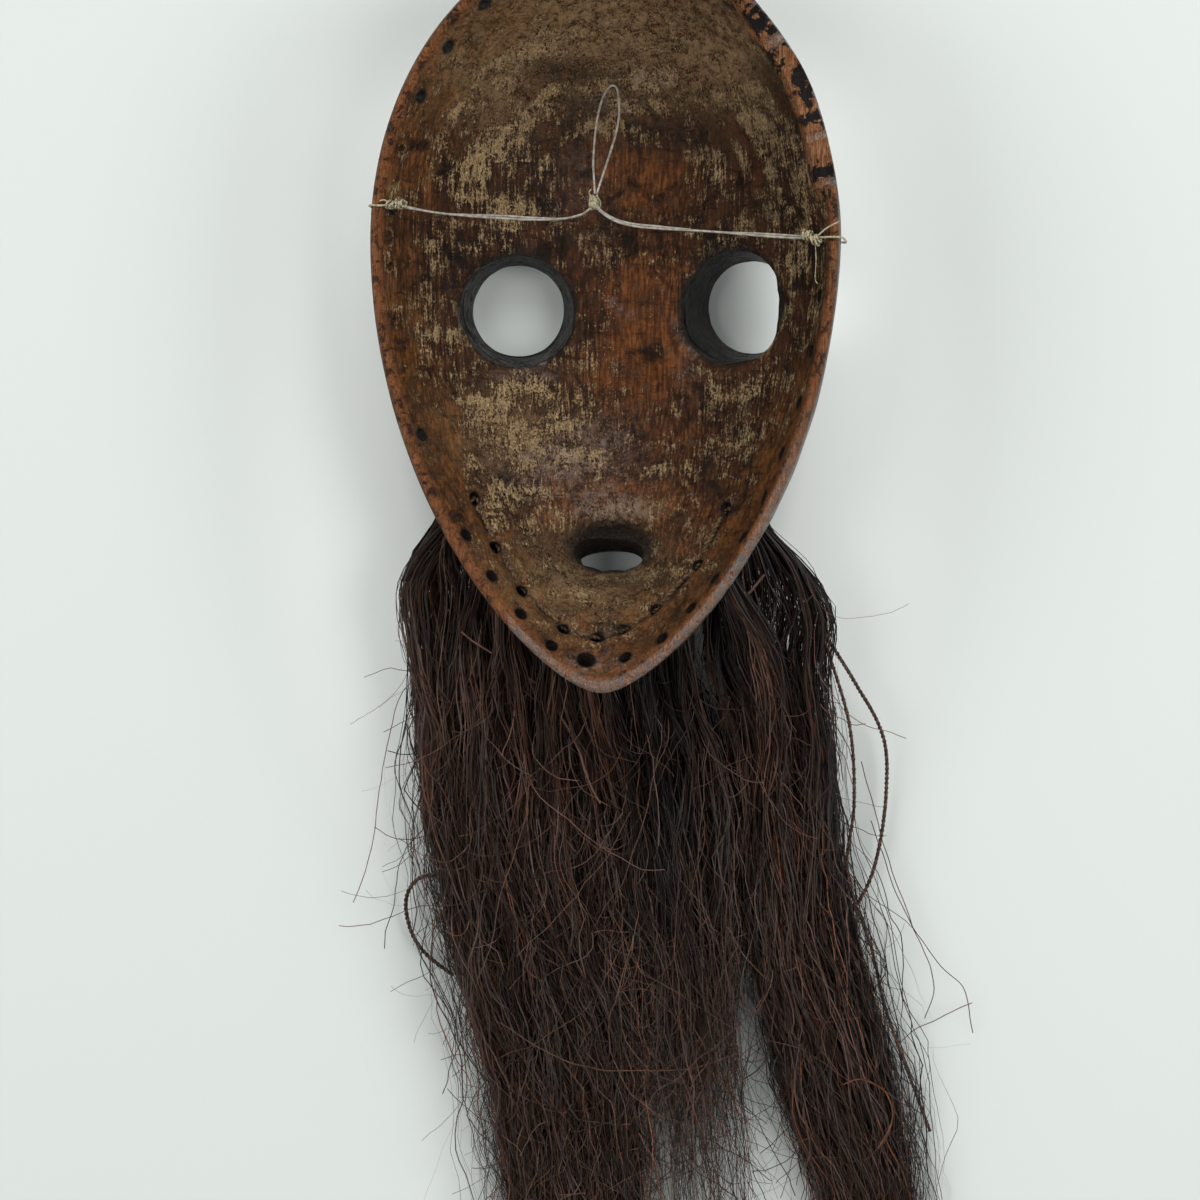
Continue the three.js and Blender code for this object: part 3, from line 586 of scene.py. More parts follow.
# Materials are built from nodes through a small helper.
def linear(name):
    """A named colour as the numbers that light uses."""
    def channel(value):
        share = value / 255
        return share / 12.92 if share <= 0.04045 else ((share + 0.055) / 1.055) ** 2.4
    return (*map(channel, COLOURS[name]), 1.0)


class Shader:
    """A material and short ways to add nodes. An input is a number, a colour's name or a node's output."""

    def __init__(self, name):
        self.material = bpy.data.materials.new(name)
        self.material.use_nodes = True
        self.tree = self.material.node_tree
        self.tree.nodes.clear()
        self.surface = self.tree.nodes.new("ShaderNodeBsdfPrincipled")
        output = self.tree.nodes.new("ShaderNodeOutputMaterial")
        self.tree.links.new(self.surface.outputs["BSDF"], output.inputs["Surface"])

    def put(self, socket, value):
        if isinstance(value, bpy.types.NodeSocket):
            self.tree.links.new(value, socket)
        else:
            socket.default_value = linear(value) if isinstance(value, str) else value

    def node(self, kind, inputs=(), **settings):
        made = self.tree.nodes.new(kind)
        for key, value in settings.items():
            setattr(made, key, value)
        for key, value in dict(inputs).items():
            self.put(made.inputs[key], value)
        return made

    def math(self, operation, a, b):
        return self.node("ShaderNodeMath", {0: a, 1: b}, operation=operation).outputs[0]

    def vector(self, operation, a, b=(0, 0, 0)):
        return self.node("ShaderNodeVectorMath", {0: a, 1: b}, operation=operation)

    def add(self, a, b):
        return self.math("ADD", a, b)

    def times(self, a, b):
        return self.math("MULTIPLY", a, b)

    def place(self):
        return self.node("ShaderNodeTexCoord").outputs["Object"]

    def attribute(self, name):
        return self.node("ShaderNodeAttribute", attribute_name=name).outputs["Fac"]

    def noise(self, lump, detail=3.0, roughness=0.55, distortion=0.0, low=0.35, high=0.65, offset=0):
        """Noise from 0 to 1 with lumps of this size in millimetres along x, y and z."""
        scaled = self.vector("MULTIPLY", self.place(), tuple(1 / MM / each for each in lump)).outputs[0]
        moved = self.vector("ADD", scaled, (offset, offset, offset)).outputs[0]
        made = self.node("ShaderNodeTexNoise", {
            "Vector": moved, "Scale": 1.0, "Detail": detail, "Roughness": roughness, "Distortion": distortion,
        })
        return self.ramp(made.outputs["Fac"], low, high)

    def sum(self, *terms):
        """The sum of pairs of a value and its weight."""
        total = 0.0
        for value, weight in terms:
            total = self.add(self.times(value, weight), total)
        return total

    def ramp(self, value, low, high):
        """0 below low, 1 above high, smooth between."""
        made = self.node("ShaderNodeMapRange", {"Value": value, "From Min": low, "From Max": high})
        made.interpolation_type = "SMOOTHSTEP"
        return made.outputs["Result"]

    def broken(self, name, low, high, *terms):
        """An attribute's share, broken up by the sum of these textures."""
        return self.times(self.attribute(name), self.ramp(self.sum(*terms), low, high))

    def mix(self, share, a, b):
        made = self.node("ShaderNodeMix", data_type="RGBA")
        self.put(made.inputs[0], share)
        self.put(made.inputs[6], a)
        self.put(made.inputs[7], b)
        return made.outputs[2]

    def cover(self, colour, share, strength, over):
        """The colour with another one over it, where the share is high and with this strength."""
        return self.mix(self.times(share, strength), colour, over)

    def bump(self, height, distance, normal=None):
        """The surface's direction with relief whose full height is this many millimetres."""
        made = self.node("ShaderNodeBump", {"Height": height, "Distance": distance * MM, "Strength": 1.0})
        if normal is not None:
            self.put(made.inputs["Normal"], normal)
        return made.outputs["Normal"]

    def set(self, **values):
        for key, value in values.items():
            self.put(self.surface.inputs[key.replace("_", " ")], value)
        return self.material


def floor_material():
    shade = Shader("table_with_painted_light")
    place = shade.place()
    moved = shade.vector("ADD", place, tuple(-each * MM for each in PAINTED_LIGHT_RING["middle"])).outputs[0]
    stretch = tuple(1 / MM / each for each in PAINTED_LIGHT_RING["half_size"])
    scaled = shade.vector("MULTIPLY", moved, stretch).outputs[0]
    away = shade.vector("LENGTH", scaled).outputs["Value"]
    along = shade.node("ShaderNodeSeparateXYZ", {0: place}).outputs["Y"]
    beside = shade.ramp(along, PAINTED_LIGHT_RING["ends"] * MM, PAINTED_LIGHT_RING["fades"] * MM)
    band = shade.times(shade.ramp(away, *PAINTED_LIGHT_RING["inner_edge"]), shade.ramp(away, *PAINTED_LIGHT_RING["outer_edge"]))
    # Painted light: the ring beside the mask is lighter where the mask's shadow falls.
    colour = shade.mix(shade.times(beside, band), "table", "table_ring")
    return shade.set(Base_Color=colour, Roughness=0.6)


def nylon_material():
    shade = Shader("nylon_line")
    mottle = shade.noise((1.5, 1.5, 1.5), detail=2)
    colour = shade.mix(mottle, "nylon_dark", "nylon")
    return shade.set(Base_Color=colour, Roughness=0.28, IOR=1.53, Transmission_Weight=0.25)


def knot_material():
    shade = Shader("nylon_knot")
    mottle = shade.noise((0.6, 0.6, 0.6))
    colour = shade.mix(mottle, "knot_dark", "knot")
    return shade.set(Base_Color=colour, Roughness=0.35, IOR=1.53, Transmission_Weight=0.1)


def wood_textures(shade):
    """The textures that the wood's colours share, each from 0 to 1."""
    return SimpleNamespace(
        blotch=shade.noise((18, 26, 18), detail=4, distortion=0.6),
        patch=shade.noise((6.5, 9, 6.5), detail=6, roughness=0.62, distortion=0.7),
        band=shade.noise((26, 5, 26), detail=4, roughness=0.6, distortion=0.3, offset=5),
        streak=shade.noise((0.9, 13, 0.9), detail=5, roughness=0.7, low=0.38, high=0.62),
        grain=shade.noise((0.35, 9, 0.35), detail=3, offset=9),
        speckle=shade.noise((0.5, 0.8, 0.5), detail=3, roughness=0.7, offset=3),
        scuff=shade.noise((3.2, 3.2, 3.2), detail=5, roughness=0.7, distortion=0.5, offset=7),
        grime=shade.noise((10, 13, 10), 5, roughness=0.65, distortion=1.0, low=0.5, high=0.66, offset=11),
        smudge=shade.noise((4.5, 4, 4.5), detail=4, roughness=0.6, low=0.56, high=0.66, offset=19),
        dash=shade.noise((8, 1.9, 8), detail=3, low=0.58, high=0.7, offset=17),
        fleck=shade.noise((0.5, 0.8, 0.5), detail=1, low=0.68, high=0.73, offset=13),
    )


def residue_amount(shade, tex):
    """How much ochre dirt has stayed in the hollow."""
    return shade.sum(
        (tex.patch, 0.42), (tex.band, 0.26), (tex.streak, 0.4), (tex.speckle, 0.34),
        (shade.attribute("ochre"), 0.26), (shade.attribute("arcs"), 0.34), (tex.grime, -0.16),
        (tex.dash, -0.14), (shade.attribute("red"), -0.16), (shade.attribute("amber"), -0.3),
    )


def bare_wood(shade, tex):
    """The hollow's browns: umber, with red heartwood and amber beside the rim, under dark grime."""
    umber = shade.mix(tex.blotch, "umber_dark", "umber")
    umber = shade.cover(umber, tex.streak, 0.7, "umber_streak")
    umber = shade.cover(umber, tex.patch, 0.6, "umber_patch")
    red = shade.cover(shade.mix(tex.streak, "red_dark", "red"), tex.patch, 0.7, "red_patch")
    amber = shade.cover(shade.mix(tex.streak, "amber_dark", "amber"), tex.patch, 0.7, "amber_patch")
    red_share, amber_share = shade.attribute("red"), shade.attribute("amber")
    red_cover = shade.sum((red_share, 1.0), (tex.patch, 0.5), (tex.streak, 0.4), (tex.scuff, 0.3))
    amber_cover = shade.sum((amber_share, 1.2), (tex.scuff, 0.35), (tex.streak, 0.2))
    colour = shade.mix(shade.ramp(red_cover, 0.75, 1.6), umber, red)
    colour = shade.mix(shade.ramp(amber_cover, 0.5, 1.15), colour, amber)
    colour = shade.cover(colour, tex.grime, 0.85, "grime")
    colour = shade.cover(colour, shade.times(tex.smudge, red_share), 0.6, "smudge")
    return shade.cover(colour, tex.dash, 0.6, "dash")


def with_dirt(shade, tex, colour, residue_cover, pale_cover_share):
    """The hollow's wood under ochre dirt, a pale cover that lightens the top of the hollow most, stains, pale
    haze and wear with a painted sheen, and flecks.
    """
    ochre = shade.cover(shade.mix(tex.speckle, "ochre_dark", "ochre"), tex.blotch, 0.35, "ochre_blotch")
    layers = [
        (residue_cover, 0.86, ochre),
        (pale_cover_share, 0.9, "dust"),
        (shade.broken("stain", 0.25, 0.6, (tex.scuff, 0.6), (tex.streak, 0.3)), 0.85, "stain"),
        # Pale haze, partly wear and partly a painted sheen and glints.
        (shade.broken("haze", 0.2, 0.9, (tex.scuff, 0.5), (tex.speckle, 0.4)), 0.8, "haze"),
        (shade.times(shade.attribute("fleck"), tex.fleck), 0.8, "fleck"),
    ]
    for share, strength, over in layers:
        colour = shade.cover(colour, share, strength, over)
    return colour


def with_edges(shade, tex, colour, residue):
    """Adds the rim, the broken edge, the front, the worn edges with a painted reflection, the burnt openings
    with painted shade in the cord's groove, and the scars with painted glints.
    """
    copper = shade.cover(shade.mix(tex.grain, "copper_dark", "copper"), tex.streak, 0.35, "copper_streak")
    copper = shade.mix(shade.ramp(tex.scuff, 0.5, 0.95), copper, "copper_scuff")
    char_amount = shade.sum((tex.patch, 0.6), (tex.scuff, 0.4), (shade.attribute("char"), 0.5))
    raw = shade.mix(shade.ramp(char_amount, 0.56, 0.66), shade.mix(tex.grain, "raw_dark", "raw"), "charred")
    front = shade.cover(shade.mix(tex.patch, "front_dark", "front"), tex.streak, 0.35, "front_streak")
    front = shade.cover(front, shade.ramp(residue, 0.8, 1.0), 0.25, "front_dirt")
    # Whitish wear, and a painted pale reflection on the right outer wall.
    worn = shade.broken("pale", 0.12, 0.52, (tex.scuff, 0.4), (tex.speckle, 0.5))
    # Pale scars, and painted glints along the eyes' edges.
    scar = shade.broken("scar", 0.1, 0.5, (tex.scuff, 0.4), (tex.speckle, 0.4))
    for name, over in (("rim", copper), ("raw", raw), ("outer", front)):
        colour = shade.mix(shade.attribute(name), colour, over)
    colour = shade.cover(colour, worn, 0.9, "worn")
    # Burnt wood, and painted shade in the cord's groove.
    colour = shade.mix(shade.attribute("burnt"), colour, shade.mix(tex.speckle, "burnt_dark", "burnt"))
    return shade.cover(colour, scar, 0.8, "scar")


def wood_material():
    shade = Shader("carved_wood")
    tex = wood_textures(shade)
    residue = residue_amount(shade, tex)
    residue_cover = shade.ramp(residue, 0.76, 1.04)
    # A pale cover that makes the wood lighter, most broadly at the top of the hollow.
    pale_cover_share = shade.broken("dust", 0.15, 0.7, (tex.speckle, 0.5), (tex.scuff, 0.5))
    colour = with_dirt(shade, tex, bare_wood(shade, tex), residue_cover, pale_cover_share)
    colour = with_edges(shade, tex, colour, residue)
    roughness = shade.sum(
        (0.29, 1.0), (residue_cover, 0.36), (shade.attribute("raw"), 0.3), (tex.scuff, 0.14), (pale_cover_share, 0.15),
    )
    fine = shade.sum((tex.grain, 0.3), (tex.streak, 0.5), (residue_cover, 0.7), (tex.speckle, 0.25))
    coarse = shade.sum((tex.patch, 0.6), (tex.scuff, 0.4), (tex.band, 0.5))
    normal = shade.bump(coarse, 1.0, normal=shade.bump(fine, 0.3))
    return shade.set(Base_Color=colour, Roughness=roughness, Normal=normal, IOR=1.48, Specular_IOR_Level=0.17)


def fibre_material():
    shade = Shader("beard_fibre")
    tint = shade.attribute("tint")
    colour = shade.mix(shade.ramp(tint, 0.05, 0.85), "fibre_dark", "fibre")
    colour = shade.mix(shade.ramp(tint, 0.93, 0.99), colour, "fibre_copper")
    colour = shade.cover(colour, shade.noise((4, 4, 4), detail=2), 0.4, "fibre_patch")
    return shade.set(Base_Color=colour, Roughness=0.5, IOR=1.5, Specular_IOR_Level=0.3)


def dirty_cord_material():
    shade = Shader("dirty_cord")
    patch = shade.noise((1.6, 1.6, 1.6), detail=4, roughness=0.6)
    colour = shade.mix(patch, "cord_dark", "cord")
    return shade.set(Base_Color=colour, Roughness=0.85, Normal=shade.bump(patch, 0.25))


def paint(obj, material):
    obj.data.materials.clear()
    obj.data.materials.append(material)


# The nylon line, its loop and its knots.
def strand_pair(route, steps, twist_length):
    """The paths of two strands that lie side by side along a route and turn slowly round each other."""
    path = smooth_path(route, steps)[None]
    travelled = np.linspace(0, path_length(path[0]), steps)
    angle = (0.9 + 0.6 * np.sin(travelled / twist_length * 2 * math.pi))[None, :, None]
    tangents = unit(np.gradient(path, axis=1))
    level = unit(np.cross(tangents, (0, 0, 1)))
    upright = np.cross(level, tangents)
    across = level * np.cos(angle) + upright * np.sin(angle)
    spread = STRAND_RADIUS * (1.02 + 0.15 * np.abs(np.sin(travelled / 23)))[None, :, None]
    return np.concatenate([path - across * spread, path + across * spread])


def knot_windings(centre, size, turns, lean, phase):
    """A knot: one strand wound about a lump, as a path that crosses over itself."""
    t = np.linspace(0, 1, 26 * turns)
    angle = t * turns * 2 * math.pi
    leaning = lean * np.sin(t * 2 * math.pi * (turns * 0.5 + 0.31) + phase)
    ring = np.stack([
        size[0] * (0.72 * (2 * t - 1) + 0.25 * np.cos(angle + phase)),
        size[1] * np.cos(angle) * (0.75 + 0.2 * np.sin(3 * t * math.pi + phase)) + leaning * 0.3,
        size[2] * np.sin(angle) * (0.75 + 0.2 * np.cos(2 * t * math.pi + phase)),
    ], axis=1)
    return centre + ring


def rim_wrap(knot, side):
    """The line's turn over the rim and back through a hole, as a route in the mask's frame."""
    level = (1, 1, 0)
    over = np.array([0, 0, 0.55])
    point, outward = edge_at(knot[1], side)
    inside = point - outward * HOLE_INSET
    inside[2] = -hollow_depth(inside[0], inside[1])
    direction = slanting(outward, HOLE_SLOPE)
    outside = point + outward * 1.1
    exit_depth = inside[2] + direction[2] * ((HOLE_INSET + 1.4) / math.cos(HOLE_SLOPE))
    return [
        knot, (point - outward * 3) * level + over, (point - outward * 0.4) * level + over - (0, 0, 0.2),
        outside + (0, 0, -2.4), outside + (0, 0, exit_depth + 2),
        (outside - outward) * level + (0, 0, exit_depth),
        inside + direction * 2.5, inside - direction * 1.4, knot,
    ]


def tube_part(route, radius, steps, sides=8):
    path = to_row(smooth_path(route, steps))[None]
    return tubes(path, np.full(path.shape[:2], radius), sides)


def make_knot(name, material):
    """A knot with its turn round the rim, where it has one, and its loose tails."""
    centre = np.array(KNOTS[name], float)
    parts = []
    for offset, *shape in KNOT_WINDINGS[name]:
        parts.append(tube_part(knot_windings(centre + offset, *shape), STRAND_RADIUS * 0.95, 150, 7))
    if name in RIM_SIDES:
        parts.append(tube_part(rim_wrap(centre, RIM_SIDES[name]), STRAND_RADIUS, 90))
    for radius, route in KNOT_TAILS[name]:
        parts.append(tube_part(centre + route, radius, 24, 6))
    knot = mesh_object(f"{name}_knot", *merged(parts))
    paint(knot, material)
    return piece(knot, "nylon", f"knot_{name}")


def make_line(nylon, knotted):
    """The doubled line with its three knots, and the loop at its middle."""
    steps, loop_steps = 160, 120
    pair = to_row(strand_pair(LINE_ROUTE, steps, LINE_TWIST))
    line = mesh_object("hanging_line", *tubes(pair, np.full(pair.shape[:2], STRAND_RADIUS), 8))
    middle = to_row(smooth_path(LINE_ROUTE, steps))
    loop_path = to_row(smooth_path(LOOP_ROUTE, loop_steps))
    loop = mesh_object("loop_strand", *tubes(loop_path[None], np.full((1, loop_steps), STRAND_RADIUS), 10))
    knots = [make_knot(name, knotted) for name in KNOTS]
    for obj in (line, loop):
        paint(obj, nylon)
    piece(line, "nylon", "hanging_line_left", "hanging_line_right")
    piece(loop, "nylon", "hanging_loop")
    path_length(middle) * MM
    path_length(loop_path) * MM


# The groove of the beard cord along the jaw, and the ragged banks beside it.
GROOVE = {"depth": 1.5, "width": 1.2, "bank_height": 1.2, "bank_at": 2.6, "bank_width": 1.1}

# The mask: a fine skin over both sides, with holes, eyes and mouth cut through it.
MASK_ROWS = 250
HOLLOW_COLUMNS = 168
FACE_COLUMNS = 120
RIM_STEPS = 8
EYE_SIDES = 72


def spread_shares(count, bunching):
    """Shares from -1 to 1 that crowd towards both ends."""
    t = np.linspace(-1, 1, count)
    return lerp(t, np.sin(t * math.pi / 2), bunching)


def distance_to_route(points, route):
    """How far each point, by x and y, is from a bent line."""
    best = np.full(points.shape[:-1], 1e9)
    for a, b in zip(route[:-1], route[1:]):
        a, b = np.asarray(a[:2], float), np.asarray(b[:2], float)
        along = np.clip(((points[..., :2] - a) @ (b - a)) / ((b - a) @ (b - a)), 0, 1)
        nearest = a + along[..., None] * (b - a)
        best = np.minimum(best, np.linalg.norm(points[..., :2] - nearest, axis=-1))
    return best


def eye_axis(side, depth):
    middle = np.array([side * EYE_X + EYE_SHIFT, EYE_Y, -EYE_INNER_DEPTH])
    axis = np.array([side * math.sin(EYE_SPLAY), math.sin(EYE_LIFT), -math.cos(EYE_SPLAY)])
    return middle + axis * (depth - EYE_INNER_DEPTH) / math.cos(EYE_SPLAY)


def from_axis(points, start, axis):
    """How far each point is from an axis."""
    offset = points - start
    return np.linalg.norm(offset - (offset @ axis)[..., None] * axis, axis=-1)


def eye_distance(points, side):
    start = eye_axis(side, EYE_INNER_DEPTH)
    return from_axis(points, start, unit(eye_axis(side, EYE_OUTER_DEPTH) - start))


def eye_rims(points):
    """The eased edge of each eye's opening and the low swelling round it, as a height."""
    total = 0
    for side in (-1, 1):
        from_edge = eye_distance(points, side) - EYE_INNER_RADIUS
        total = total - 0.9 * bell(np.maximum(from_edge, 0), 1.4) + 0.7 * bell(from_edge - 3.4, 2)
    return total


def hollow_relief(points):
    """Tool marks, lumps and the groove of the beard cord, as a height off the hollow's surface."""
    flat = points * (1, 1, 0.6)
    lumps = 0.55 * fractal(flat, (34, 44, 34), 3, 1)
    scoops = -0.32 * np.abs(noise(flat, (7, 17, 9), 3)) + 0.16
    ripples = 0.12 * noise(flat, (2.6, 16, 4), 5)
    from_row = distance_to_route(points, JAW_HOLES)
    groove = -GROOVE["depth"] * bell(from_row, GROOVE["width"]) * (0.75 + 0.25 * noise(points, (3, 3, 3), 9))
    ragged = 0.5 + 0.5 * noise(points, (2.4, 2.4, 2.4), 11)
    banks = GROOVE["bank_height"] * bell(from_row - GROOVE["bank_at"], GROOVE["bank_width"]) * ragged
    arcs = -0.28 * np.abs(gouge_arcs(points[..., 0], points[..., 1]))
    return lumps + scoops + ripples + groove + banks + eye_rims(points) + arcs


def face_relief(points):
    """Lumps and facets of the front, as a depth into its surface."""
    lumps = 0.35 * fractal(points, (26, 26, 26), 2, 21)
    facets = 0.14 * noise(points, (6, 9, 6), 23)
    return -(lumps + facets)


def grid_normals(points):
    down = np.gradient(points, axis=0)
    across = np.gradient(points, axis=1)
    return unit(np.cross(across, down))


def rim_profile(share):
    """How far the rim's top is worn down, from its inner edge (0) to its outer one (1)."""
    return -1.3 * (1 - smooth(0, 0.34, share)) - 1.0 * smooth(0.7, 1, share) ** 1.5


def skin_side(across, turn, inset, depth_at, wear, relief):
    """One side of the skin as a grid of points. wear is how far its edge at the rim is worn down."""
    x, y = outline(across, turn, inset)
    y = np.broadcast_to(y, x.shape)
    depth = depth_at(x, y)
    side = np.stack([x, y, -depth + wear * np.exp(-depth / 1.6)], axis=-1)
    fade = (smooth(0, 8, depth) * smooth(0, 0.04, 1 - np.abs(np.sin(turn))))[..., None]
    return side + grid_normals(side) * fade * relief(side)[..., None]


def rim_strip(inner_edge, outer_edge):
    """The rim's top between its two edges, uneven and chipped."""
    shares = np.arange(1, RIM_STEPS) / RIM_STEPS
    strip = lerp(inner_edge[:, None], outer_edge[:, None], shares[None, :, None])
    wobble = 0.25 * fractal(strip * (1, 1, 0), (9, 9, 9), 3, 31)
    chips = 0.7 * smooth(0.35, 0.7, noise(strip * (1, 1, 0), (4, 5, 4), 33)) * smooth(0.4, 0.8, shares)
    strip[..., 2] = rim_profile(shares) + (wobble - chips) * np.sin(shares * math.pi)
    return strip


def mask_skin():
    """The mask's closed skin in its own frame: points and quads."""
    turn = spread_shares(MASK_ROWS, 0.55)[:, None] * math.pi / 2
    inner_across = spread_shares(HOLLOW_COLUMNS, 0.62)[None]
    outer_across = spread_shares(FACE_COLUMNS, 0.7)[None]
    inner = skin_side(inner_across, turn, RIM_WIDTH, hollow_depth, rim_profile(0), hollow_relief)
    outer = skin_side(outer_across, turn, 0, carved_face_depth, rim_profile(1), face_relief)
    left_rim, right_rim = (rim_strip(inner[:, side], outer[:, side]) for side in (0, -1))
    rings = np.concatenate([inner, right_rim, outer[:, ::-1], left_rim[:, ::-1]], axis=1)
    points, quads, _ = skins(rings[None])
    return points, quads


def welded(name, points, quads, triangles=()):
    """A mesh object whose equal points are one."""
    keys = np.round(points * 1e4).astype(np.int64)
    _, first, back = np.unique(keys, axis=0, return_index=True, return_inverse=True)
    back = back.ravel()
    faces = []
    for quad in back[np.asarray(quads)].tolist():
        corners = [corner for i, corner in enumerate(quad) if corner != quad[i - 1]]
        if len(set(corners)) == len(corners) and len(corners) > 2:
            faces.append(corners)
    for corners in back[np.asarray(triangles, int).reshape(-1, 3)].tolist():
        if len(set(corners)) == 3:
            faces.append(corners)
    mesh = bpy.data.meshes.new(name)
    mesh.from_pydata((points[first] * MM).tolist(), [], faces)
    return add_object(name, mesh)


def cut(target, cutters, operation="DIFFERENCE"):
    """Cuts closed shapes, given as (points, quads, triangles), out of an object, or joins them to it."""
    tool = welded("cutter", *merged(cutters))
    change = target.modifiers.new("cut", "BOOLEAN")
    change.operation = operation
    change.solver = "MANIFOLD"
    change.object = tool
    bpy.context.view_layer.update()
    result = bpy.data.meshes.new_from_object(target.evaluated_get(bpy.context.evaluated_depsgraph_get()))
    target.modifiers.clear()
    target.data = result
    bpy.data.objects.remove(tool)
    return target


def eye_tube(side):
    """The tube that stands out of the face round an eye, with a rounded foot and a worn end."""
    def rounding(share):
        return 3.5 * (1 - share) ** 3 - 1.5 * max(share - 0.93, 0) / 0.07
    foot, end = eye_axis(side, EYE_INNER_DEPTH + 4), eye_axis(side, EYE_OUTER_DEPTH)
    return bar(foot, end, EYE_TUBE_RADIUS + 0.8, EYE_TUBE_RADIUS, EYE_SIDES, 24, rounding)


def eye_hole(side):
    """An eye's opening, uneven where it starts, and flat on the outer side of the right one."""
    widening = (EYE_INNER_RADIUS - EYE_OUTER_RADIUS) / (EYE_OUTER_DEPTH - EYE_INNER_DEPTH)
    above, below = 14, 4
    points, quads, triangles = bar(
        eye_axis(side, EYE_INNER_DEPTH - above), eye_axis(side, EYE_OUTER_DEPTH + below),
        EYE_INNER_RADIUS + widening * above, EYE_OUTER_RADIUS - widening * below, EYE_SIDES, 30,
    )
    start = eye_axis(side, EYE_INNER_DEPTH)
    axis = unit(eye_axis(side, EYE_OUTER_DEPTH) - start)
    offset = points - start
    along = (offset @ axis)[:, None] * axis
    near_hollow = 1 - smooth(-8, 12, offset @ axis)
    uneven = 1 + (0.02 + 0.035 * near_hollow) * noise(points, (10, 10, 20), 40 + side)
    uneven = uneven + (0.008 + 0.012 * near_hollow) * noise(points, (3, 3, 5), 44 + side)
    radial = (offset - along) * uneven[:, None]
    if side > 0:
        flat_from = EYE_FLAT * np.linalg.norm(radial, axis=1)
        radial[:, 0] = np.minimum(radial[:, 0], flat_from + 0.3 * (radial[:, 0] - flat_from))
    return start + along + radial, quads, triangles


def mouth_hole():
    """The mouth's opening: a pit in the hollow that narrows to a slot with notched teeth below."""
    count = 64
    stations = [
        {**MOUTH_PIT, "depth": MOUTH_PIT["depth"] - 14, "half_width": 12.5, "half_height": 9},
        {**MOUTH_PIT, "half_width": 12, "half_height": 8.4, "y": MOUTH_PIT["y"] + 0.6},
        {**MOUTH, "depth": MOUTH["depth"] - 6, "half_height": MOUTH["half_height"] + 0.8},
        {**MOUTH, "depth": MOUTH["depth"] + 14},
    ]
    rings = []
    angle = -np.arange(count) * 2 * math.pi / count
    sine = np.sin(angle)
    for level, at in enumerate(stations):
        tooth = np.where((level > 1) & (sine < 0), 0.7 * np.abs(np.cos(TEETH * angle)), 0)
        rings.append(np.stack([
            at["x"] + at["half_width"] * np.cos(angle), at["y"] + at["half_height"] * sine + tooth,
            np.full(count, -float(at["depth"])),
        ], axis=1))
    return loft(rings)


def rim_hole(y, side, inset=HOLE_INSET, radius=HOLE_RADIUS):
    point, outward = edge_at(y, side)
    inside = point - outward * inset
    inside[2] = -hollow_depth(inside[0], inside[1])
    return inside, slanting(outward, HOLE_SLOPE), radius


def drilled(inside, direction, radius):
    before, beyond = 7, 28
    return bar(inside - direction * before, inside + direction * beyond, radius, radius, 16)


def hole_lines():
    """Every open drilled hole: the point where it starts in the hollow, its direction and its radius."""
    lines = [rim_hole(y, -1) for y in LEFT_HOLES if y not in FILLED_HOLES]
    lines += [rim_hole(y, 1) for y in RIGHT_HOLES]
    lines += [rim_hole(y, side, CHIN_HOLE_INSET, radius) for y, side, radius in CHIN_HOLES]
    for x, y in JAW_HOLES:
        lines.append((np.array([x, y, -hollow_depth(x, y)]), jaw_hole_direction(x, y), HOLE_RADIUS))
    return lines


def filled_hole(y):
    """The shallow dent that shows where dirt has filled a hole of the left row."""
    def narrowing(share):
        return -22.5 * max(share - 0.8, 0) ** 2
    inside, direction, _ = rim_hole(y, -1)
    start, end = inside - direction * 7, inside + direction * 1.3
    return bar(start, end, HOLE_RADIUS, HOLE_RADIUS * 0.7, 24, 12, narrowing)


def open_hole(y):
    """A hole of the broken stretch, which lies open at the break."""
    point, outward = edge_at(y, 1)
    start = (point - outward * BREAK["inset"]) * (1, 1, 0) + (0, 0, -3)
    end = (point + outward * 8) * (1, 1, 0) + (0, 0, -5.5)
    return bar(start, end, HOLE_RADIUS, HOLE_RADIUS, 16)


def broken_piece():
    """What has broken away from the rim, with a splintered underside."""
    steps, across = 110, 18
    t = np.linspace(1, 0, across)
    drop = lerp(BREAK["inner_drop"], BREAK["outer_drop"], t)
    rings = []
    for i in range(steps + 1):
        share = i / steps
        y = lerp(BREAK["from_y"], BREAK["to_y"], share)
        point, outward = edge_at(y, 1)
        edges = np.array([point - outward * BREAK["inset"], point + outward * 6])
        ends = smooth(0, 0.1, share) * smooth(0, 0.1, 1 - share)
        along = np.full(across, y)
        splinter = 0.5 * fractal(np.stack([t * 14, along * 0.22, t * 0], axis=1), (1.6, 1.6, 1), 3, 51)
        chips = 0.7 * noise(np.stack([t * 9, along, t * 0], axis=1), (5, 9, 1), 53)
        under = lerp(edges[0], edges[1], t[:, None])
        under[:, 2] = 0.4 - ends * (drop + splinter + chips)
        rings.append(np.vstack([edges * (1, 1, 0) + (0, 0, 6), under]))
    return loft(rings)


def nostrils():
    made = []
    for side in (-1, 1):
        depth = float(face_depth(0.0, NOSE["wing_y"] - 4.0))
        centre = np.array([side * 5.6, NOSE["wing_y"] - 7.5, -depth - 7.5])
        made.append(bar(centre, centre + (0, 11, 2), 3.1, 1.6, 20, 6))
    return made


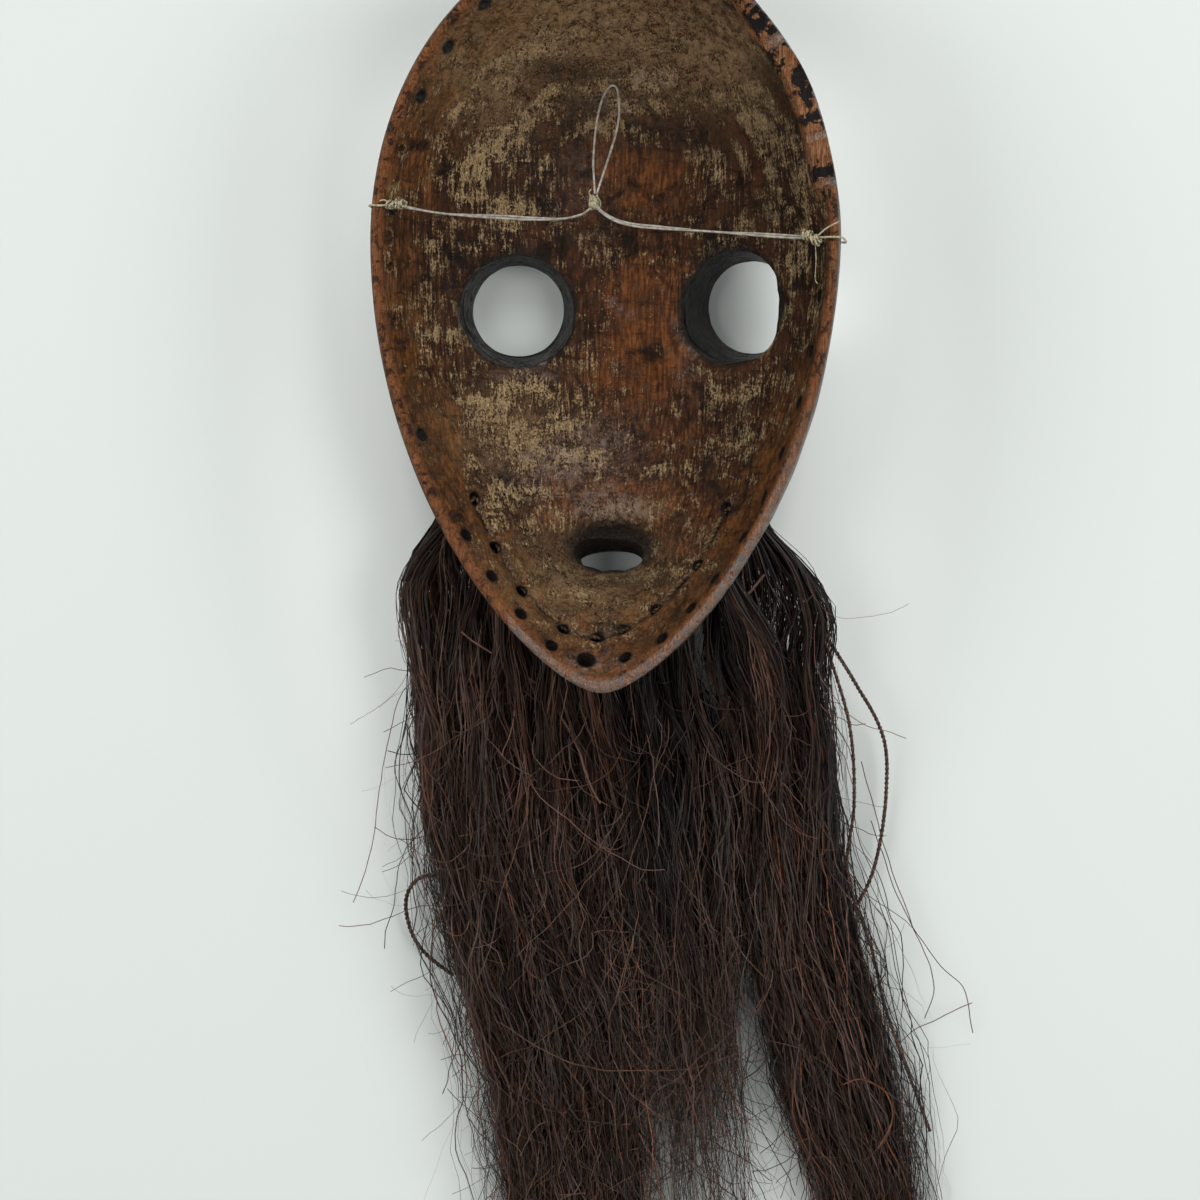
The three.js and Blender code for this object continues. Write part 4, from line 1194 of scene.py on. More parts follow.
# Broad patches inside the hollow, and of char on the broken edge: x, y, half width, half height, share.
OCHRE_PATCHES = [
    (-39, -54, 27, 16, 0.55), (-50, -34, 14, 12, 0.5), (-22, -66, 18, 12, 0.5), (-49, 32, 18, 22, 0.5),
    (46, 34, 14, 22, 0.5), (57, -13, 8, 22, 0.6), (42, -54, 16, 12, 0.6), (-5, -113, 22, 12, 0.75),
    (-37, -86, 12, 14, 0.9), (-1, -86, 11, 3.5, 0.9), (27, -100, 12, 12, 0.8), (-61, -18, 8, 22, 0.5),
    (-36, 14, 14, 8, 0.5), (-16, 12, 7, 8, -0.5), (8, -25, 15, 20, -0.5), (-28, -14, 20, 20, -0.5),
    (35, -14, 18, 20, -0.4), (4, 22, 16, 16, -0.4),
]
# A pale cover that makes the wood lighter, most broadly at the top of the hollow: x, y, half width, half
# height, share.
PALE_COVER_PATCHES = [
    (0, 76, 46, 24, 1.0), (-44, 52, 14, 16, 0.5), (36, 56, 18, 14, 0.6), (-10, -108, 26, 16, 0.7),
    (-36, -60, 20, 14, 0.4), (0, -85.5, 10, 3.2, 1.0),
]
STAIN_PATCHES = [
    (-17, 58, 15, 4, 1.0), (22, 38, 15, 8, 1.0), (-22, 36, 14, 9, 0.5), (-28, 18, 14, 6, 0.5),
    (-52, -14, 5, 15, 0.7), (-12, 48, 10, 4, 0.6), (60, -28, 5, 22, 0.5), (20, 14, 16, 5, 0.4),
    (-6, 6, 12, 3, 0.5), (-3, 84, 30, 5, 0.3), (54, 52, 6, 22, 0.7), (50, 10, 12, 18, 0.6),
    (38, -62, 16, 16, 0.35), (-20, -101, 5, 6, 0.6), (0, -109, 13, 2.2, 0.7), (-10, -118, 10, 2, 0.5),
    (17, -108, 5, 4, 0.5), (-30, -97, 4, 9, 0.5), (24, -94, 5, 5, 0.4), (30, -78, 4, 10, 0.5),
]
RED_PATCHES = [
    (6, -17, 16, 22, 1.0), (9, -37, 18, 12, 1.0), (8, 24, 20, 14, 0.85), (20, -62, 18, 12, 0.6),
    (-14, -76, 14, 10, 0.6), (-4, -46, 14, 10, 0.6), (20, -86, 15, 8, 1.0), (-20, -88, 8, 6, 0.9),
    (1, -78, 16, 3, 0.6), (22, -100, 12, 8, 0.6), (-12, 34, 12, 12, 0.4),
]
# Pale haze, partly worn wood and partly a painted sheen and glints: x, y, half width, half height, share.
HAZE_AND_SHEEN_PATCHES = [
    (-2, -85.5, 12, 4.5, 1.3), (-24, -71, 12, 7, 0.8), (-7, -62, 11, 7, 0.8), (-4, 50, 9, 4, 0.5),
    (8, 56, 10, 2, 0.8), (-30, -42, 9, 1.6, 1.0), (22, -40, 4, 5, 0.5), (-10, -75, 16, 8, 0.7),
    (-14, 22, 8, 14, 0.3), (-10, -136, 12, 4, 1.0), (12, -137, 10, 4, 0.6),
]
FLECK_PATCHES = [(-5, -20, 4, 26, 1.0), (-2, -52, 5, 16, 0.7), (30, -34, 12, 8, 0.6), (-30, 40, 16, 20, 0.4)]
CHARRED_PATCHES = [
    (52, 66, 5, 3, 1.0), (69, 36, 6, 2, 1.0), (72, 19, 6, 2, 1.0), (62, 54, 2, 8, 0.6), (68, 44, 2, 6, 0.6),
]

# Thin raised scars beside the eyes, and painted glints along the eyes' edges, as routes.
SCAR_AND_GLINT_WIDTH = 0.6
SCARS_AND_GLINTS = [
    [(-42, -41.2), (-37.5, -41), (-33.3, -40), (-28.4, -38.6), (-24.3, -36.6)],
    [(23.6, -6.8), (28.3, -3), (32.4, -0.9)], [(16.7, -24.3), (19.2, -29.6), (24.7, -35)],
    [(-32, 0), (-27.5, -0.9), (-23.7, -2.6), (-20, -5.9)], [(-5.4, -16), (0, -20.4), (5.6, -23.3)],
]

# The gouge's marks at the top of the hollow run round this point.
ARC_CENTRE = (2, 8)


def gouge_arcs(x, y):
    """Marks of the gouge that run round the top of the hollow, from -1 to 1."""
    across, up = x - ARC_CENTRE[0], y - ARC_CENTRE[1]
    rings = np.stack([np.hypot(across, up), np.arctan2(up, across) * 60, np.zeros_like(x)], axis=-1)
    return fractal(rings, (3.6, 34, 1), 2, 65) * smooth(24, 44, y + 0.3 * np.abs(x))


def patches(spots, x, y):
    return np.clip(swell(spots, x, y), 0, 1)


def vertex_places(obj):
    """The points of an object's mesh, in millimetres."""
    places = np.empty(len(obj.data.vertices) * 3, np.float32)
    obj.data.vertices.foreach_get("co", places)
    return places.reshape(-1, 3).astype(float) / MM


def mask_places(obj):
    """The mask's points in its own frame, with what the painting of its surface needs to know of them."""
    points = to_mask(vertex_places(obj))
    normals = np.empty(len(points) * 3, np.float32)
    obj.data.vertex_normals.foreach_get("vector", normals)
    normals = normals.reshape(-1, 3)
    return SimpleNamespace(
        points=points, x=points[:, 0], y=points[:, 1], depth=-points[:, 2],
        upward=normals[:, 2] * math.cos(ROLL) - normals[:, 0] * math.sin(ROLL),
        from_row=distance_to_route(points, JAW_HOLES), wobble=noise(points, (6, 6, 6), 61),
    )


def front_share(at):
    """The mask's front and its outer walls."""
    inside = np.abs(at.depth - hollow_depth(at.x, at.y))
    outside = np.abs(at.depth - carved_face_depth(at.x, at.y))
    outer = smooth(-0.3, 0.3, (inside - outside) / 3 - at.upward * 0.6)
    past_rim = smooth(0.55, 0.8, (reach(at.x, at.y, RIM_WIDTH * 0.35) - 0.985) / 0.015)
    return np.where(at.depth < 2.5, past_rim * smooth(0.5, 2.2, at.depth), outer)


def rim_share(at, outer, raw):
    """The copper-brown rim, darkened along its left outer edge."""
    wall = 1 - reach(at.x, at.y, RIM_WIDTH * 0.85)
    rim = (1 - smooth(0.0, 0.02, wall + 0.007 * at.wobble)) * (at.depth < 7) * (1 - outer)
    outer_edge = smooth(0.6, 0.9, (reach(at.x, at.y) - 0.975) / 0.025)
    dark_edge = outer_edge * (1 - smooth(-30, 10, at.x)) * (at.y > -110)
    return rim * (1 - raw) * (1 - 0.85 * dark_edge)


def amber_share(at, outer):
    """The lighter wood beside the rim, at the left and along the jaw."""
    wall = 1 - reach(at.x, at.y, RIM_WIDTH)
    left_share, jaw_share = 1 - smooth(0, 40, at.x), smooth(-10, -70, at.y)
    warm_side = np.clip(left_share * lerp(0.5, 1, smooth(0, 60, at.y)) + 0.9 * jaw_share, 0, 1)
    return (1 - smooth(0.05, 0.26, wall + 0.06 * at.wobble)) * warm_side * (1 - outer)


def burnt_and_shade_share(at, outer):
    """The burnt insides of the eyes and of the drilled holes, the mouth's pit, darkest towards its top, and
    painted shade in the groove under the beard cord.
    """
    burnt = np.zeros(len(at.points))
    for side in (-1, 1):
        from_wall = eye_distance(at.points, side) - EYE_INNER_RADIUS
        burnt = np.maximum(burnt, 1 - smooth(0.4, 1.5, from_wall + 0.5 * at.wobble))
    for start, direction, radius in hole_lines():
        away = from_axis(at.points, start, direction)
        burnt = np.maximum(burnt, 1 - smooth(0.96 * radius, 1.3 * radius, away))
    across, up = at.x - MOUTH_PIT["x"], at.y - MOUTH_PIT["y"]
    pit = 1 - smooth(0.8, 1.15, np.hypot(across / 14.5, up / 11) + 0.08 * at.wobble)
    burnt = np.maximum(burnt, pit * (at.depth > 20) * lerp(0.35, 0.95, smooth(-9, 1, up)))
    # Painted shade along the groove under the beard cord.
    groove = bell(at.from_row, 0.8) * smooth(-0.4, 0.5, noise(at.points, (3, 3, 3), 67))
    burnt = np.maximum(burnt, 0.75 * groove * (1 - outer))
    return np.clip(burnt, 0, 1) * 0.95


def raw_share(at):
    """The bare wood of the broken edge."""
    beside = (reach(at.x, at.y) > 0.885) & (at.x > 20)
    broken = beside & (at.y > BREAK["from_y"] - 1) & (at.y < BREAK["to_y"] + 1) & (at.depth < 9)
    return broken * smooth(0.25, 0.55, at.upward) * (1 - smooth(7, 9, at.depth))


def pale_wear_and_reflection_share(at, outer):
    """The whitish wear on the chin's rim, and a painted pale reflection on the right outer wall."""
    outer_half = smooth(0.5, 0.85, (reach(at.x, at.y, RIM_WIDTH * 0.5) - 0.97) / 0.03) * (at.depth < 4)
    lower = np.maximum(smooth(-40, -100, at.y) * (at.x > -30), smooth(-122, -138, at.y))
    chin_wear = outer_half * lower * smooth(-0.2, 0.2, at.upward)
    # Painted reflection: the right outer wall is paler, as if it caught the light.
    side_reflection = outer * smooth(25, 45, at.x) * (1 - smooth(6, 16, at.depth))
    return np.clip(0.5 * chin_wear + side_reflection, 0, 1)


def ochre_share(at):
    """Where ochre dirt has stayed: in broad patches, and beside the groove, more so at the left."""
    beside = bell(at.from_row - 2.4, 1.8) * (1 - 0.5 * smooth(0, 20, at.x))
    return np.clip(swell(OCHRE_PATCHES, at.x, at.y) + 0.95 * beside, -1, 1)


def paint_mask(obj):
    """Marks each point of the mask with what its surface is."""
    at = mask_places(obj)
    outer, raw = front_share(at), raw_share(at)
    in_hollow = 1 - outer
    # Pale scars, and painted glints beside the eyes.
    scar = sum(bell(distance_to_route(at.points, route), SCAR_AND_GLINT_WIDTH) for route in SCARS_AND_GLINTS)
    shares = {
        "rim": rim_share(at, outer, raw), "amber": amber_share(at, outer), "outer": outer * (1 - raw),
        "burnt": burnt_and_shade_share(at, outer), "raw": raw, "pale": pale_wear_and_reflection_share(at, outer), "ochre": ochre_share(at),
        "arcs": gouge_arcs(at.x, at.y), "scar": np.clip(scar, 0, 1) * in_hollow * (at.depth > 8),
        "char": patches(CHARRED_PATCHES, at.x, at.y), "dust": patches(PALE_COVER_PATCHES, at.x, at.y),
        "stain": patches(STAIN_PATCHES, at.x, at.y), "red": patches(RED_PATCHES, at.x, at.y),
        "fleck": patches(FLECK_PATCHES, at.x, at.y) * in_hollow,
        "haze": patches(HAZE_AND_SHEEN_PATCHES, at.x, at.y) * in_hollow,
    }
    for name, values in shares.items():
        add_attribute(obj, name, values)


def make_mask(material):
    obj = welded("carved_mask", *mask_skin())
    for side in (-1, 1):
        cut(obj, [eye_tube(side)], "UNION")
    holes = [drilled(*line) for line in hole_lines()]
    cuts = [
        [eye_hole(-1), eye_hole(1), mouth_hole()], nostrils(), holes[::2], holes[1::2],
        [filled_hole(y) for y in FILLED_HOLES], [open_hole(y) for y in BROKEN_HOLES], [broken_piece()],
    ]
    for cutters in cuts:
        cut(obj, cutters)
    places = to_row(vertex_places(obj)) * MM
    places[:, 2] = np.maximum(places[:, 2], 0)
    obj.data.vertices.foreach_set("co", places.astype(np.float32).ravel())
    obj.data.polygons.foreach_set("use_smooth", np.ones(len(obj.data.polygons), bool))
    obj.data.set_sharp_from_angle(angle=math.radians(50))
    obj.data.update()
    paint_mask(obj)
    paint(obj, material)
    return piece(obj, "wood", "mask")


def twisted_plies(path, pitch, offset):
    """The paths of two plies that are twisted about one path."""
    path = path[None]
    first, second = frames_along(path)
    travelled = np.linspace(0, path_length(path[0]), path.shape[1])[None, :, None]
    plies = []
    for ply in range(2):
        angle = travelled / pitch * 2 * math.pi + ply * math.pi
        plies.append(path + offset * (first * np.cos(angle) + second * np.sin(angle)))
    return plies


# The cord inside the jaw, twisted from two plies. It dips into the holes and lies on the wood between them.
CORD = {"pitch": 3.4, "ply_radius": 0.5, "ply_offset": 0.4, "dip": 3.4, "lift": 0.35, "steps": 420}


def make_beard_cord(material):
    holes = np.array(JAW_HOLES)
    between = (holes[:-1] + holes[1:]) / 2
    route = np.zeros((len(holes) + len(between), 3))
    route[::2, :2], route[1::2, :2] = holes, between
    route[:, 2] = -hollow_depth(route[:, 0], route[:, 1])
    ends = [route[end] + jaw_hole_direction(*holes[end]) * 4 for end in (0, -1)]
    route[::2, 2] -= CORD["dip"]
    route[1::2, 2] -= CORD["lift"]
    path = smooth_path([ends[0], *route, ends[1]], CORD["steps"])
    parts = []
    for ply, line in enumerate(twisted_plies(path, CORD["pitch"], CORD["ply_offset"])):
        uneven = 1 + 0.25 * noise(path[None], (3, 3, 3), 70 + ply)
        parts.append(tubes(to_row(line), CORD["ply_radius"] * uneven, 7))
    cord = mesh_object("twisted_beard_cord", *merged(parts))
    paint(cord, material)
    return piece(cord, "cord", "beard_cord")


# Each part of the beard: where it is dense, in shares of its width, and how many fibres fray, and how far.
DENSE_WIDTH = [(0.1, 1.0), (0.0, 1.0), (0.0, 0.8)]
FRAYED_SHARE = [0.09, 0, 0.16]
FRAYED_REACH = [-0.14, 0, 0.17]

# The beard: flat strips of fibre, gathered in locks that wander over their part of the beard and cross.
STRANDS_PER_TUFT = 780
STRAND_STEP = 4.3
LOCKS_PER_TUFT = 30
FIBRE_WIDTH = (0.15, 0.46)
FULL_TO = 0.95
THIN_TO = 0.45
THIN_SPREAD = 0.16
LONG_SHARE = 0.15
THIN_TUFTS = (4, 5, 6)
SHARE_OVERLAP = 1.3
LOCK_DRIFT = 0.13
STRAND_DRIFT = 0.2
LAST_TUFT_FROM = 0.12
LEFT_FAN = 28
INNER_FAN = 64
RIGHT_FAN = 40

# How locks and strands wander to the side and lift: the share, the wave length and the seed of its noise.
LOCK_WANDER = [(0.16, 60, 80), (0.07, 26, 90)]
STRAND_WANDER = (0.14, 60, 110)
LOCK_LIFT = (0.45, 40, 100)

# The waves of the fibres: their lengths, and their sizes for a single fibre and for a lock.
WAVE_LENGTHS = (34, 15, 7)
WAVE_SIZES = (2.1, 1.3, 0.75)
LOCK_WAVE_SIZES = (1.7, 0.7, 0.2)
WAVE_WEIGHTS = (1.0, 0.6, 0.7)
CURL_SHARE = 0.11
CURL_SIZE = (1.0, 3.0)
CURL_LENGTH = (4, 9)

# How light the fibres are: the most that a lock and a single fibre add, and the copper-brown ones.
LOCK_TINT = 0.6
STRAND_TINT = 0.42
TINT_LIMIT = 0.75
COPPER_TINT = 1.15
COPPER_SHARE = 0.025

# Painted shade down the middle of the beard, strongest under the chin and fading further down.
CHIN_SHADE = {"x": 0, "half_width": 20, "along": (-110, -60), "depth": 0.6}

# Short stray fibres over the beard and beside it.
LOOSE_PER_TUFT = 210
LOOSE_STEPS = 22
LOOSE_WIDTH = (0.14, 0.34)


def tuft_lanes():
    """For each tuft the edges of its part of the beard, its own share of the width there, and its end."""
    lanes = []
    for group, (left, right, ends) in enumerate(TUFT_GROUPS):
        for i, end in enumerate(ends):
            lanes.append({
                "left": np.array(left, float), "right": np.array(right, float), "dense": DENSE_WIDTH[group],
                "frayed": FRAYED_REACH[group], "frayed_share": FRAYED_SHARE[group],
                "share": (i / len(ends), (i + 1) / len(ends)), "end": end, "fan": INNER_FAN,
            })
    lanes[0]["fan"] = LEFT_FAN
    lanes[-2]["fan"] = RIGHT_FAN
    lanes[-1]["fan"] = RIGHT_FAN
    lanes[-1]["share"] = (LAST_TUFT_FROM, 1)
    return lanes


def tuft_root(hole):
    start = np.array([*hole, -hollow_depth(*hole)]) + jaw_hole_direction(*hole) * 9
    return to_row(start) - ORIGIN_SHIFT


def folded(shares):
    """Shares that run past 0 or 1 turn back at the edge."""
    return 1 - np.abs(1 - np.abs(shares))


def tuft_place(lane, hole, t, u, v, wander=0.0, frayed=0.0):
    """Where a strand of a tuft is: t runs from root to tip, u and v place it across the tuft's section."""
    start, end = tuft_root(hole), lane["end"]
    y = lerp(start[1], end - JAW_LENGTH, t)
    stations = np.array([LANE_Y[0] + 1, *LANE_Y, end - 60])[::-1]

    def along(values, last):
        return np.interp(y + JAW_LENGTH, stations, np.array([values[0], *values, last])[::-1])

    low, high = (along(lane[side], lane[side][-1] + 3) for side in ("left", "right"))
    share = folded(lerp(*lane["share"], 0.5 + 0.5 * SHARE_OVERLAP * u) + wander)
    share = lerp(share, lerp(*lane["dense"], share), smooth(0, 0.25, t)) + frayed
    fanned = smooth(start[1], start[1] - lane["fan"], y) ** 0.6
    x = lerp(start[0] + u * ROOT_RADIUS, lerp(low, high, share), fanned)
    leaving = smooth(start[1], -JAW_LENGTH - 45, y)
    height = lerp(2.6 * ROOT_RADIUS, along(PILE_HEIGHT, 6), leaving) * (1 - 0.6 * smooth(0.78, 1, t))
    middle = lerp(start[2] - 2, height / 2, leaving**0.7)
    return np.stack([x, y, middle + v * height / 2], axis=-1) + ORIGIN_SHIFT


def clear_of_mask(points):
    """Moves points that are inside the wood out through the face."""
    local = to_mask(points)
    x, y, depth = local[..., 0], local[..., 1], -local[..., 2]
    near = reach(x, y) < 0.9999
    skin = face_depth(x, y) + 0.8
    buried = near & (depth < skin) & (depth > -4)
    local[..., 2] = np.where(buried, -skin, local[..., 2])
    moved = to_row(local)
    moved[..., 2] = np.maximum(moved[..., 2], 0.3)
    return moved


def along_noise(keys, travelled, wave, seed):
    """Noise along each strand: one row for each key, with waves about this long."""
    rows = np.broadcast_to(np.asarray(keys, float)[:, None] * 5.37, travelled.shape)
    return noise(np.stack([rows, travelled / wave, np.zeros_like(travelled)], axis=-1), (1, 1, 1), seed)


def ribbons(paths, widths, turns):
    """Flat strips along many paths. turns is the angle of each strip's face at each of its points."""
    count, length, _ = paths.shape
    first, second = frames_along(paths)
    across = first * np.cos(turns)[..., None] + second * np.sin(turns)[..., None]
    half = across * widths[..., None] / 2
    points = np.stack([paths - half, paths + half], axis=2)
    number = np.arange(count * length * 2).reshape(count, length, 2)
    quads = np.stack([number[:, :-1, 0], number[:, :-1, 1], number[:, 1:, 1], number[:, 1:, 0]], axis=-1)
    return points.reshape(-1, 3), quads.reshape(-1, 4), np.zeros((0, 3), int)


def strand_lengths(number, rng, count):
    """How long each strand is, as a share of its tuft's full length."""
    if number not in THIN_TUFTS:
        return np.clip(rng.normal(FULL_TO, 0.1, count), 0.5, 1.02)
    length = np.clip(rng.normal(THIN_TO, THIN_SPREAD, count), 0.2, 0.98)
    long = rng.uniform(0, 1, count) < LONG_SHARE
    length[long] = rng.uniform(0.6, 1, long.sum())
    return length


def laid_strands(number, lane, hole, rng, count):
    """A tuft's strands: the lock and the place across the tuft of each, and the stations along them."""
    lock = rng.integers(0, LOCKS_PER_TUFT, count)
    lock_angle = rng.uniform(0, 2 * math.pi, LOCKS_PER_TUFT)
    lock_radius = np.sqrt(rng.uniform(0, 1, LOCKS_PER_TUFT))
    own_angle, own_radius = rng.uniform(0, 2 * math.pi, count), rng.uniform(0, 0.3, count)
    u = (lock_radius * np.cos(lock_angle))[lock] + own_radius * np.cos(own_angle)
    v = (lock_radius * np.sin(lock_angle))[lock] + own_radius * np.sin(own_angle)
    length = strand_lengths(number, rng, count)
    full_length = tuft_root(hole)[1] + JAW_LENGTH - lane["end"]
    steps = int(full_length * np.median(length) / STRAND_STEP)
    share = np.linspace(0, 1, steps)[None]
    t = share * length[:, None]
    return SimpleNamespace(
        number=number, count=count, lock=lock, own=np.arange(count), u=u[:, None], v=v[:, None],
        length=length[:, None], t=t, travelled=t * full_length, free=smooth(-0.02, 0.1, t),
    )


def wandering(keys, strands, size, wave, seed):
    return size * along_noise(keys, strands.travelled, wave, seed + strands.number)


def strand_places(strands, lane, hole, rng):
    """The strands' paths without their waves: locks wander, strands drift and some fray to the side."""
    lock, t, count = strands.lock, strands.t, strands.count
    wander = sum(wandering(lock, strands, *each) for each in LOCK_WANDER)
    wander = wander + wandering(strands.own, strands, *STRAND_WANDER) * smooth(0.05, 0.7, t)
    drift = rng.normal(0, LOCK_DRIFT, LOCKS_PER_TUFT)[lock] + rng.normal(0, STRAND_DRIFT, count)
    wander = wander + drift[:, None] * smooth(0.08, 1, t)
    lift = wandering(lock, strands, *LOCK_LIFT)
    is_frayed = rng.uniform(0, 1, count) < lane["frayed_share"]
    frayed = (lane["frayed"] * is_frayed * np.abs(rng.normal(0, 1, count)))[:, None]
    return tuft_place(
        lane, hole, t, strands.u, strands.v + lift * strands.free,
        wander * strands.free, frayed * smooth(0.05, 0.5, t),
    )


def add_waves(paths, strands, rng):
    """Bends the strands in waves, each on its own and with its lock, and curls some of them."""
    t, travelled, count = strands.t, strands.travelled, strands.count
    rough = strands.free * (0.75 + 0.85 * smooth(0.1, 0.6, t)) * rng.gamma(2.0, 0.5, count)[:, None]
    for axis, weight in enumerate(WAVE_WEIGHTS):
        for wave, own, shared in zip(WAVE_LENGTHS, WAVE_SIZES, LOCK_WAVE_SIZES):
            seed = 10 * axis + wave
            single = along_noise(strands.own, travelled, wave, 120 + seed)
            together = along_noise(strands.lock, travelled, wave, 220 + seed)
            paths[..., axis] += weight * own * rough * single
            paths[..., axis] += weight * shared * strands.free * together
    curled = rng.uniform(0, 1, count) < CURL_SHARE
    turn = travelled / rng.uniform(*CURL_LENGTH, count)[:, None] + rng.uniform(0, 6, count)[:, None]
    size = (rng.uniform(*CURL_SIZE, count) * curled)[:, None] * smooth(0.2, 0.5, t)
    paths[..., 0] += size * np.cos(turn)
    paths[..., 1] += size * np.sin(turn)


def strand_tints(paths, strands, rng):
    """How light each strand is at each of its points, with painted shade low in the tuft and under the chin
    in the beard's middle.
    """
    lock, count = strands.lock, strands.count
    tint = rng.beta(1.2, 2.2, LOCKS_PER_TUFT)[lock] * LOCK_TINT + rng.uniform(0, STRAND_TINT, count) ** 1.2
    # Painted shade: strands low in the tuft are darker than those on top.
    tint = tint * np.clip(0.65 + 0.55 * strands.v[:, 0], 0.2, 1.2)
    tint = np.where(rng.uniform(0, 1, count) > 1 - COPPER_SHARE, COPPER_TINT, np.clip(tint, 0, TINT_LIMIT))
    # Painted shade under the chin, in the beard's middle.
    in_chin_shade = bell(paths[..., 0] - CHIN_SHADE["x"], CHIN_SHADE["half_width"])
    in_chin_shade = in_chin_shade * smooth(*CHIN_SHADE["along"], paths[..., 1])
    uneven = 0.9 + 0.35 * along_noise(lock, strands.travelled, 22, 140 + strands.number)
    return tint[:, None] * uneven * (1 - CHIN_SHADE["depth"] * in_chin_shade)


def loose_paths(lane, hole, rng, count):
    """Paths of short stray fibres that lie over a tuft and beside it, each bending its own way."""
    begin = (0.06 + 0.84 * rng.uniform(0, 1, count) ** 0.8)[:, None]
    u, v = rng.uniform(-1.0, 1.0, count)[:, None], rng.uniform(0.2, 1.1, count)[:, None]
    points = tuft_place(lane, hole, begin, u, v)[:, 0]
    heading = -math.pi / 2 + rng.normal(0, 0.38, count)
    bend = rng.normal(0, 0.04, count)
    stride = rng.gamma(2.0, 0.5, count) + 0.35
    climb = rng.normal(0, 0.2, count)
    path = [points]
    for _ in range(LOOSE_STEPS - 1):
        heading = heading + bend + rng.normal(0, 0.14, count)
        climb = climb * 0.8 + rng.normal(-0.03, 0.12, count)
        move = np.stack([stride * np.cos(heading), stride * np.sin(heading), climb], axis=1)
        path.append(path[-1] + move)
    return np.stack(path, axis=1)


def root_wrap(hole, heading):
    """The turns of fibre that bind a tuft where it leaves its hole: a mesh part and its tints."""
    steps, sides, turns = 70, 5, 5
    start = tuft_root(hole) + ORIGIN_SHIFT
    axis = unit(heading - start)
    side = unit(np.cross(axis, (0, 0, 1)))
    other = np.cross(side, axis)
    angle = np.linspace(0, 2 * math.pi * turns, steps)
    radius = 4.1 + 0.3 * np.sin(angle * 0.37)
    ring = side * (radius * np.cos(angle))[:, None] + other * (radius * np.sin(angle))[:, None]
    path = (start + axis * np.linspace(-3.2, 1.2, steps)[:, None] + ring)[None]
    return tubes(path, np.full((1, steps), 0.5), sides), np.full(steps * sides, 0.35)


def in_reach(paths):
    """Which paths stay close enough to the part's own box."""
    low, high = np.array(CAD_BOX[0]) / MM - STRAY_REACH, np.array(CAD_BOX[1]) / MM + STRAY_REACH
    return ((paths > low) & (paths < high)).all(axis=(1, 2))


def main_strands(number, lane, hole, rng):
    """The tuft's own strands: their mesh part, their tints, and the point that they head for at first."""
    strands = laid_strands(number, lane, hole, rng, STRANDS_PER_TUFT)
    paths = strand_places(strands, lane, hole, rng)
    add_waves(paths, strands, rng)
    tint = strand_tints(paths, strands, rng)
    paths = clear_of_mask(paths)
    kept = in_reach(paths)
    paths, share, tint = paths[kept], (strands.t / strands.length)[kept], tint[kept]
    width = rng.uniform(*FIBRE_WIDTH, len(paths))[:, None] * (1 - 0.65 * smooth(0.6, 1, share))
    turns = rng.uniform(0, math.pi, len(paths))[:, None] + rng.normal(0, 6, len(paths))[:, None] * share
    return ribbons(paths, width, turns), np.repeat(tint.ravel(), 2), paths[:, 3].mean(axis=0)


def stray_fibres(lane, hole, rng):
    """Short stray fibres of a tuft: their mesh part and their tints."""
    paths = clear_of_mask(loose_paths(lane, hole, rng, LOOSE_PER_TUFT))
    paths = paths[in_reach(paths)]
    count, every_step = len(paths), np.ones(LOOSE_STEPS)
    width = rng.uniform(*LOOSE_WIDTH, count)[:, None] * every_step
    turns = rng.uniform(0, math.pi, count)[:, None] * every_step
    tint = np.where(rng.uniform(0, 1, count) > 0.97, 1.0, rng.uniform(0.1, 0.8, count))
    return ribbons(paths, width, turns), np.repeat(tint, LOOSE_STEPS * 2)


def twisted_strings(number):
    """The twisted strings of a tuft, ply by ply: mesh parts and their tints."""
    steps, sides = 150, 5
    made = []
    for route in TWISTED_STRINGS.get(number, []):
        for ply, path in enumerate(twisted_plies(smooth_path(route, steps), STRING_PITCH, STRING_PLY_OFFSET)):
            part = tubes(path, np.full((1, steps), STRING_PLY_RADIUS), sides)
            made.append((part, np.full(steps * sides, 0.3 + 0.3 * ply)))
    return made


def single_strands(number):
    """The strands of a tuft that stand out: mesh parts and their tints."""
    steps = 50
    made = []
    for tint, width, route in SINGLE_STRANDS.get(number, []):
        path = smooth_path(route, steps)[None]
        path = path + 0.5 * np.stack([noise(path, (6, 6, 6), 130 + axis) for axis in range(3)], axis=-1)
        part = ribbons(path, np.full((1, steps), width), np.full((1, steps), 0.5))
        made.append((part, np.full(steps * 2, tint)))
    return made


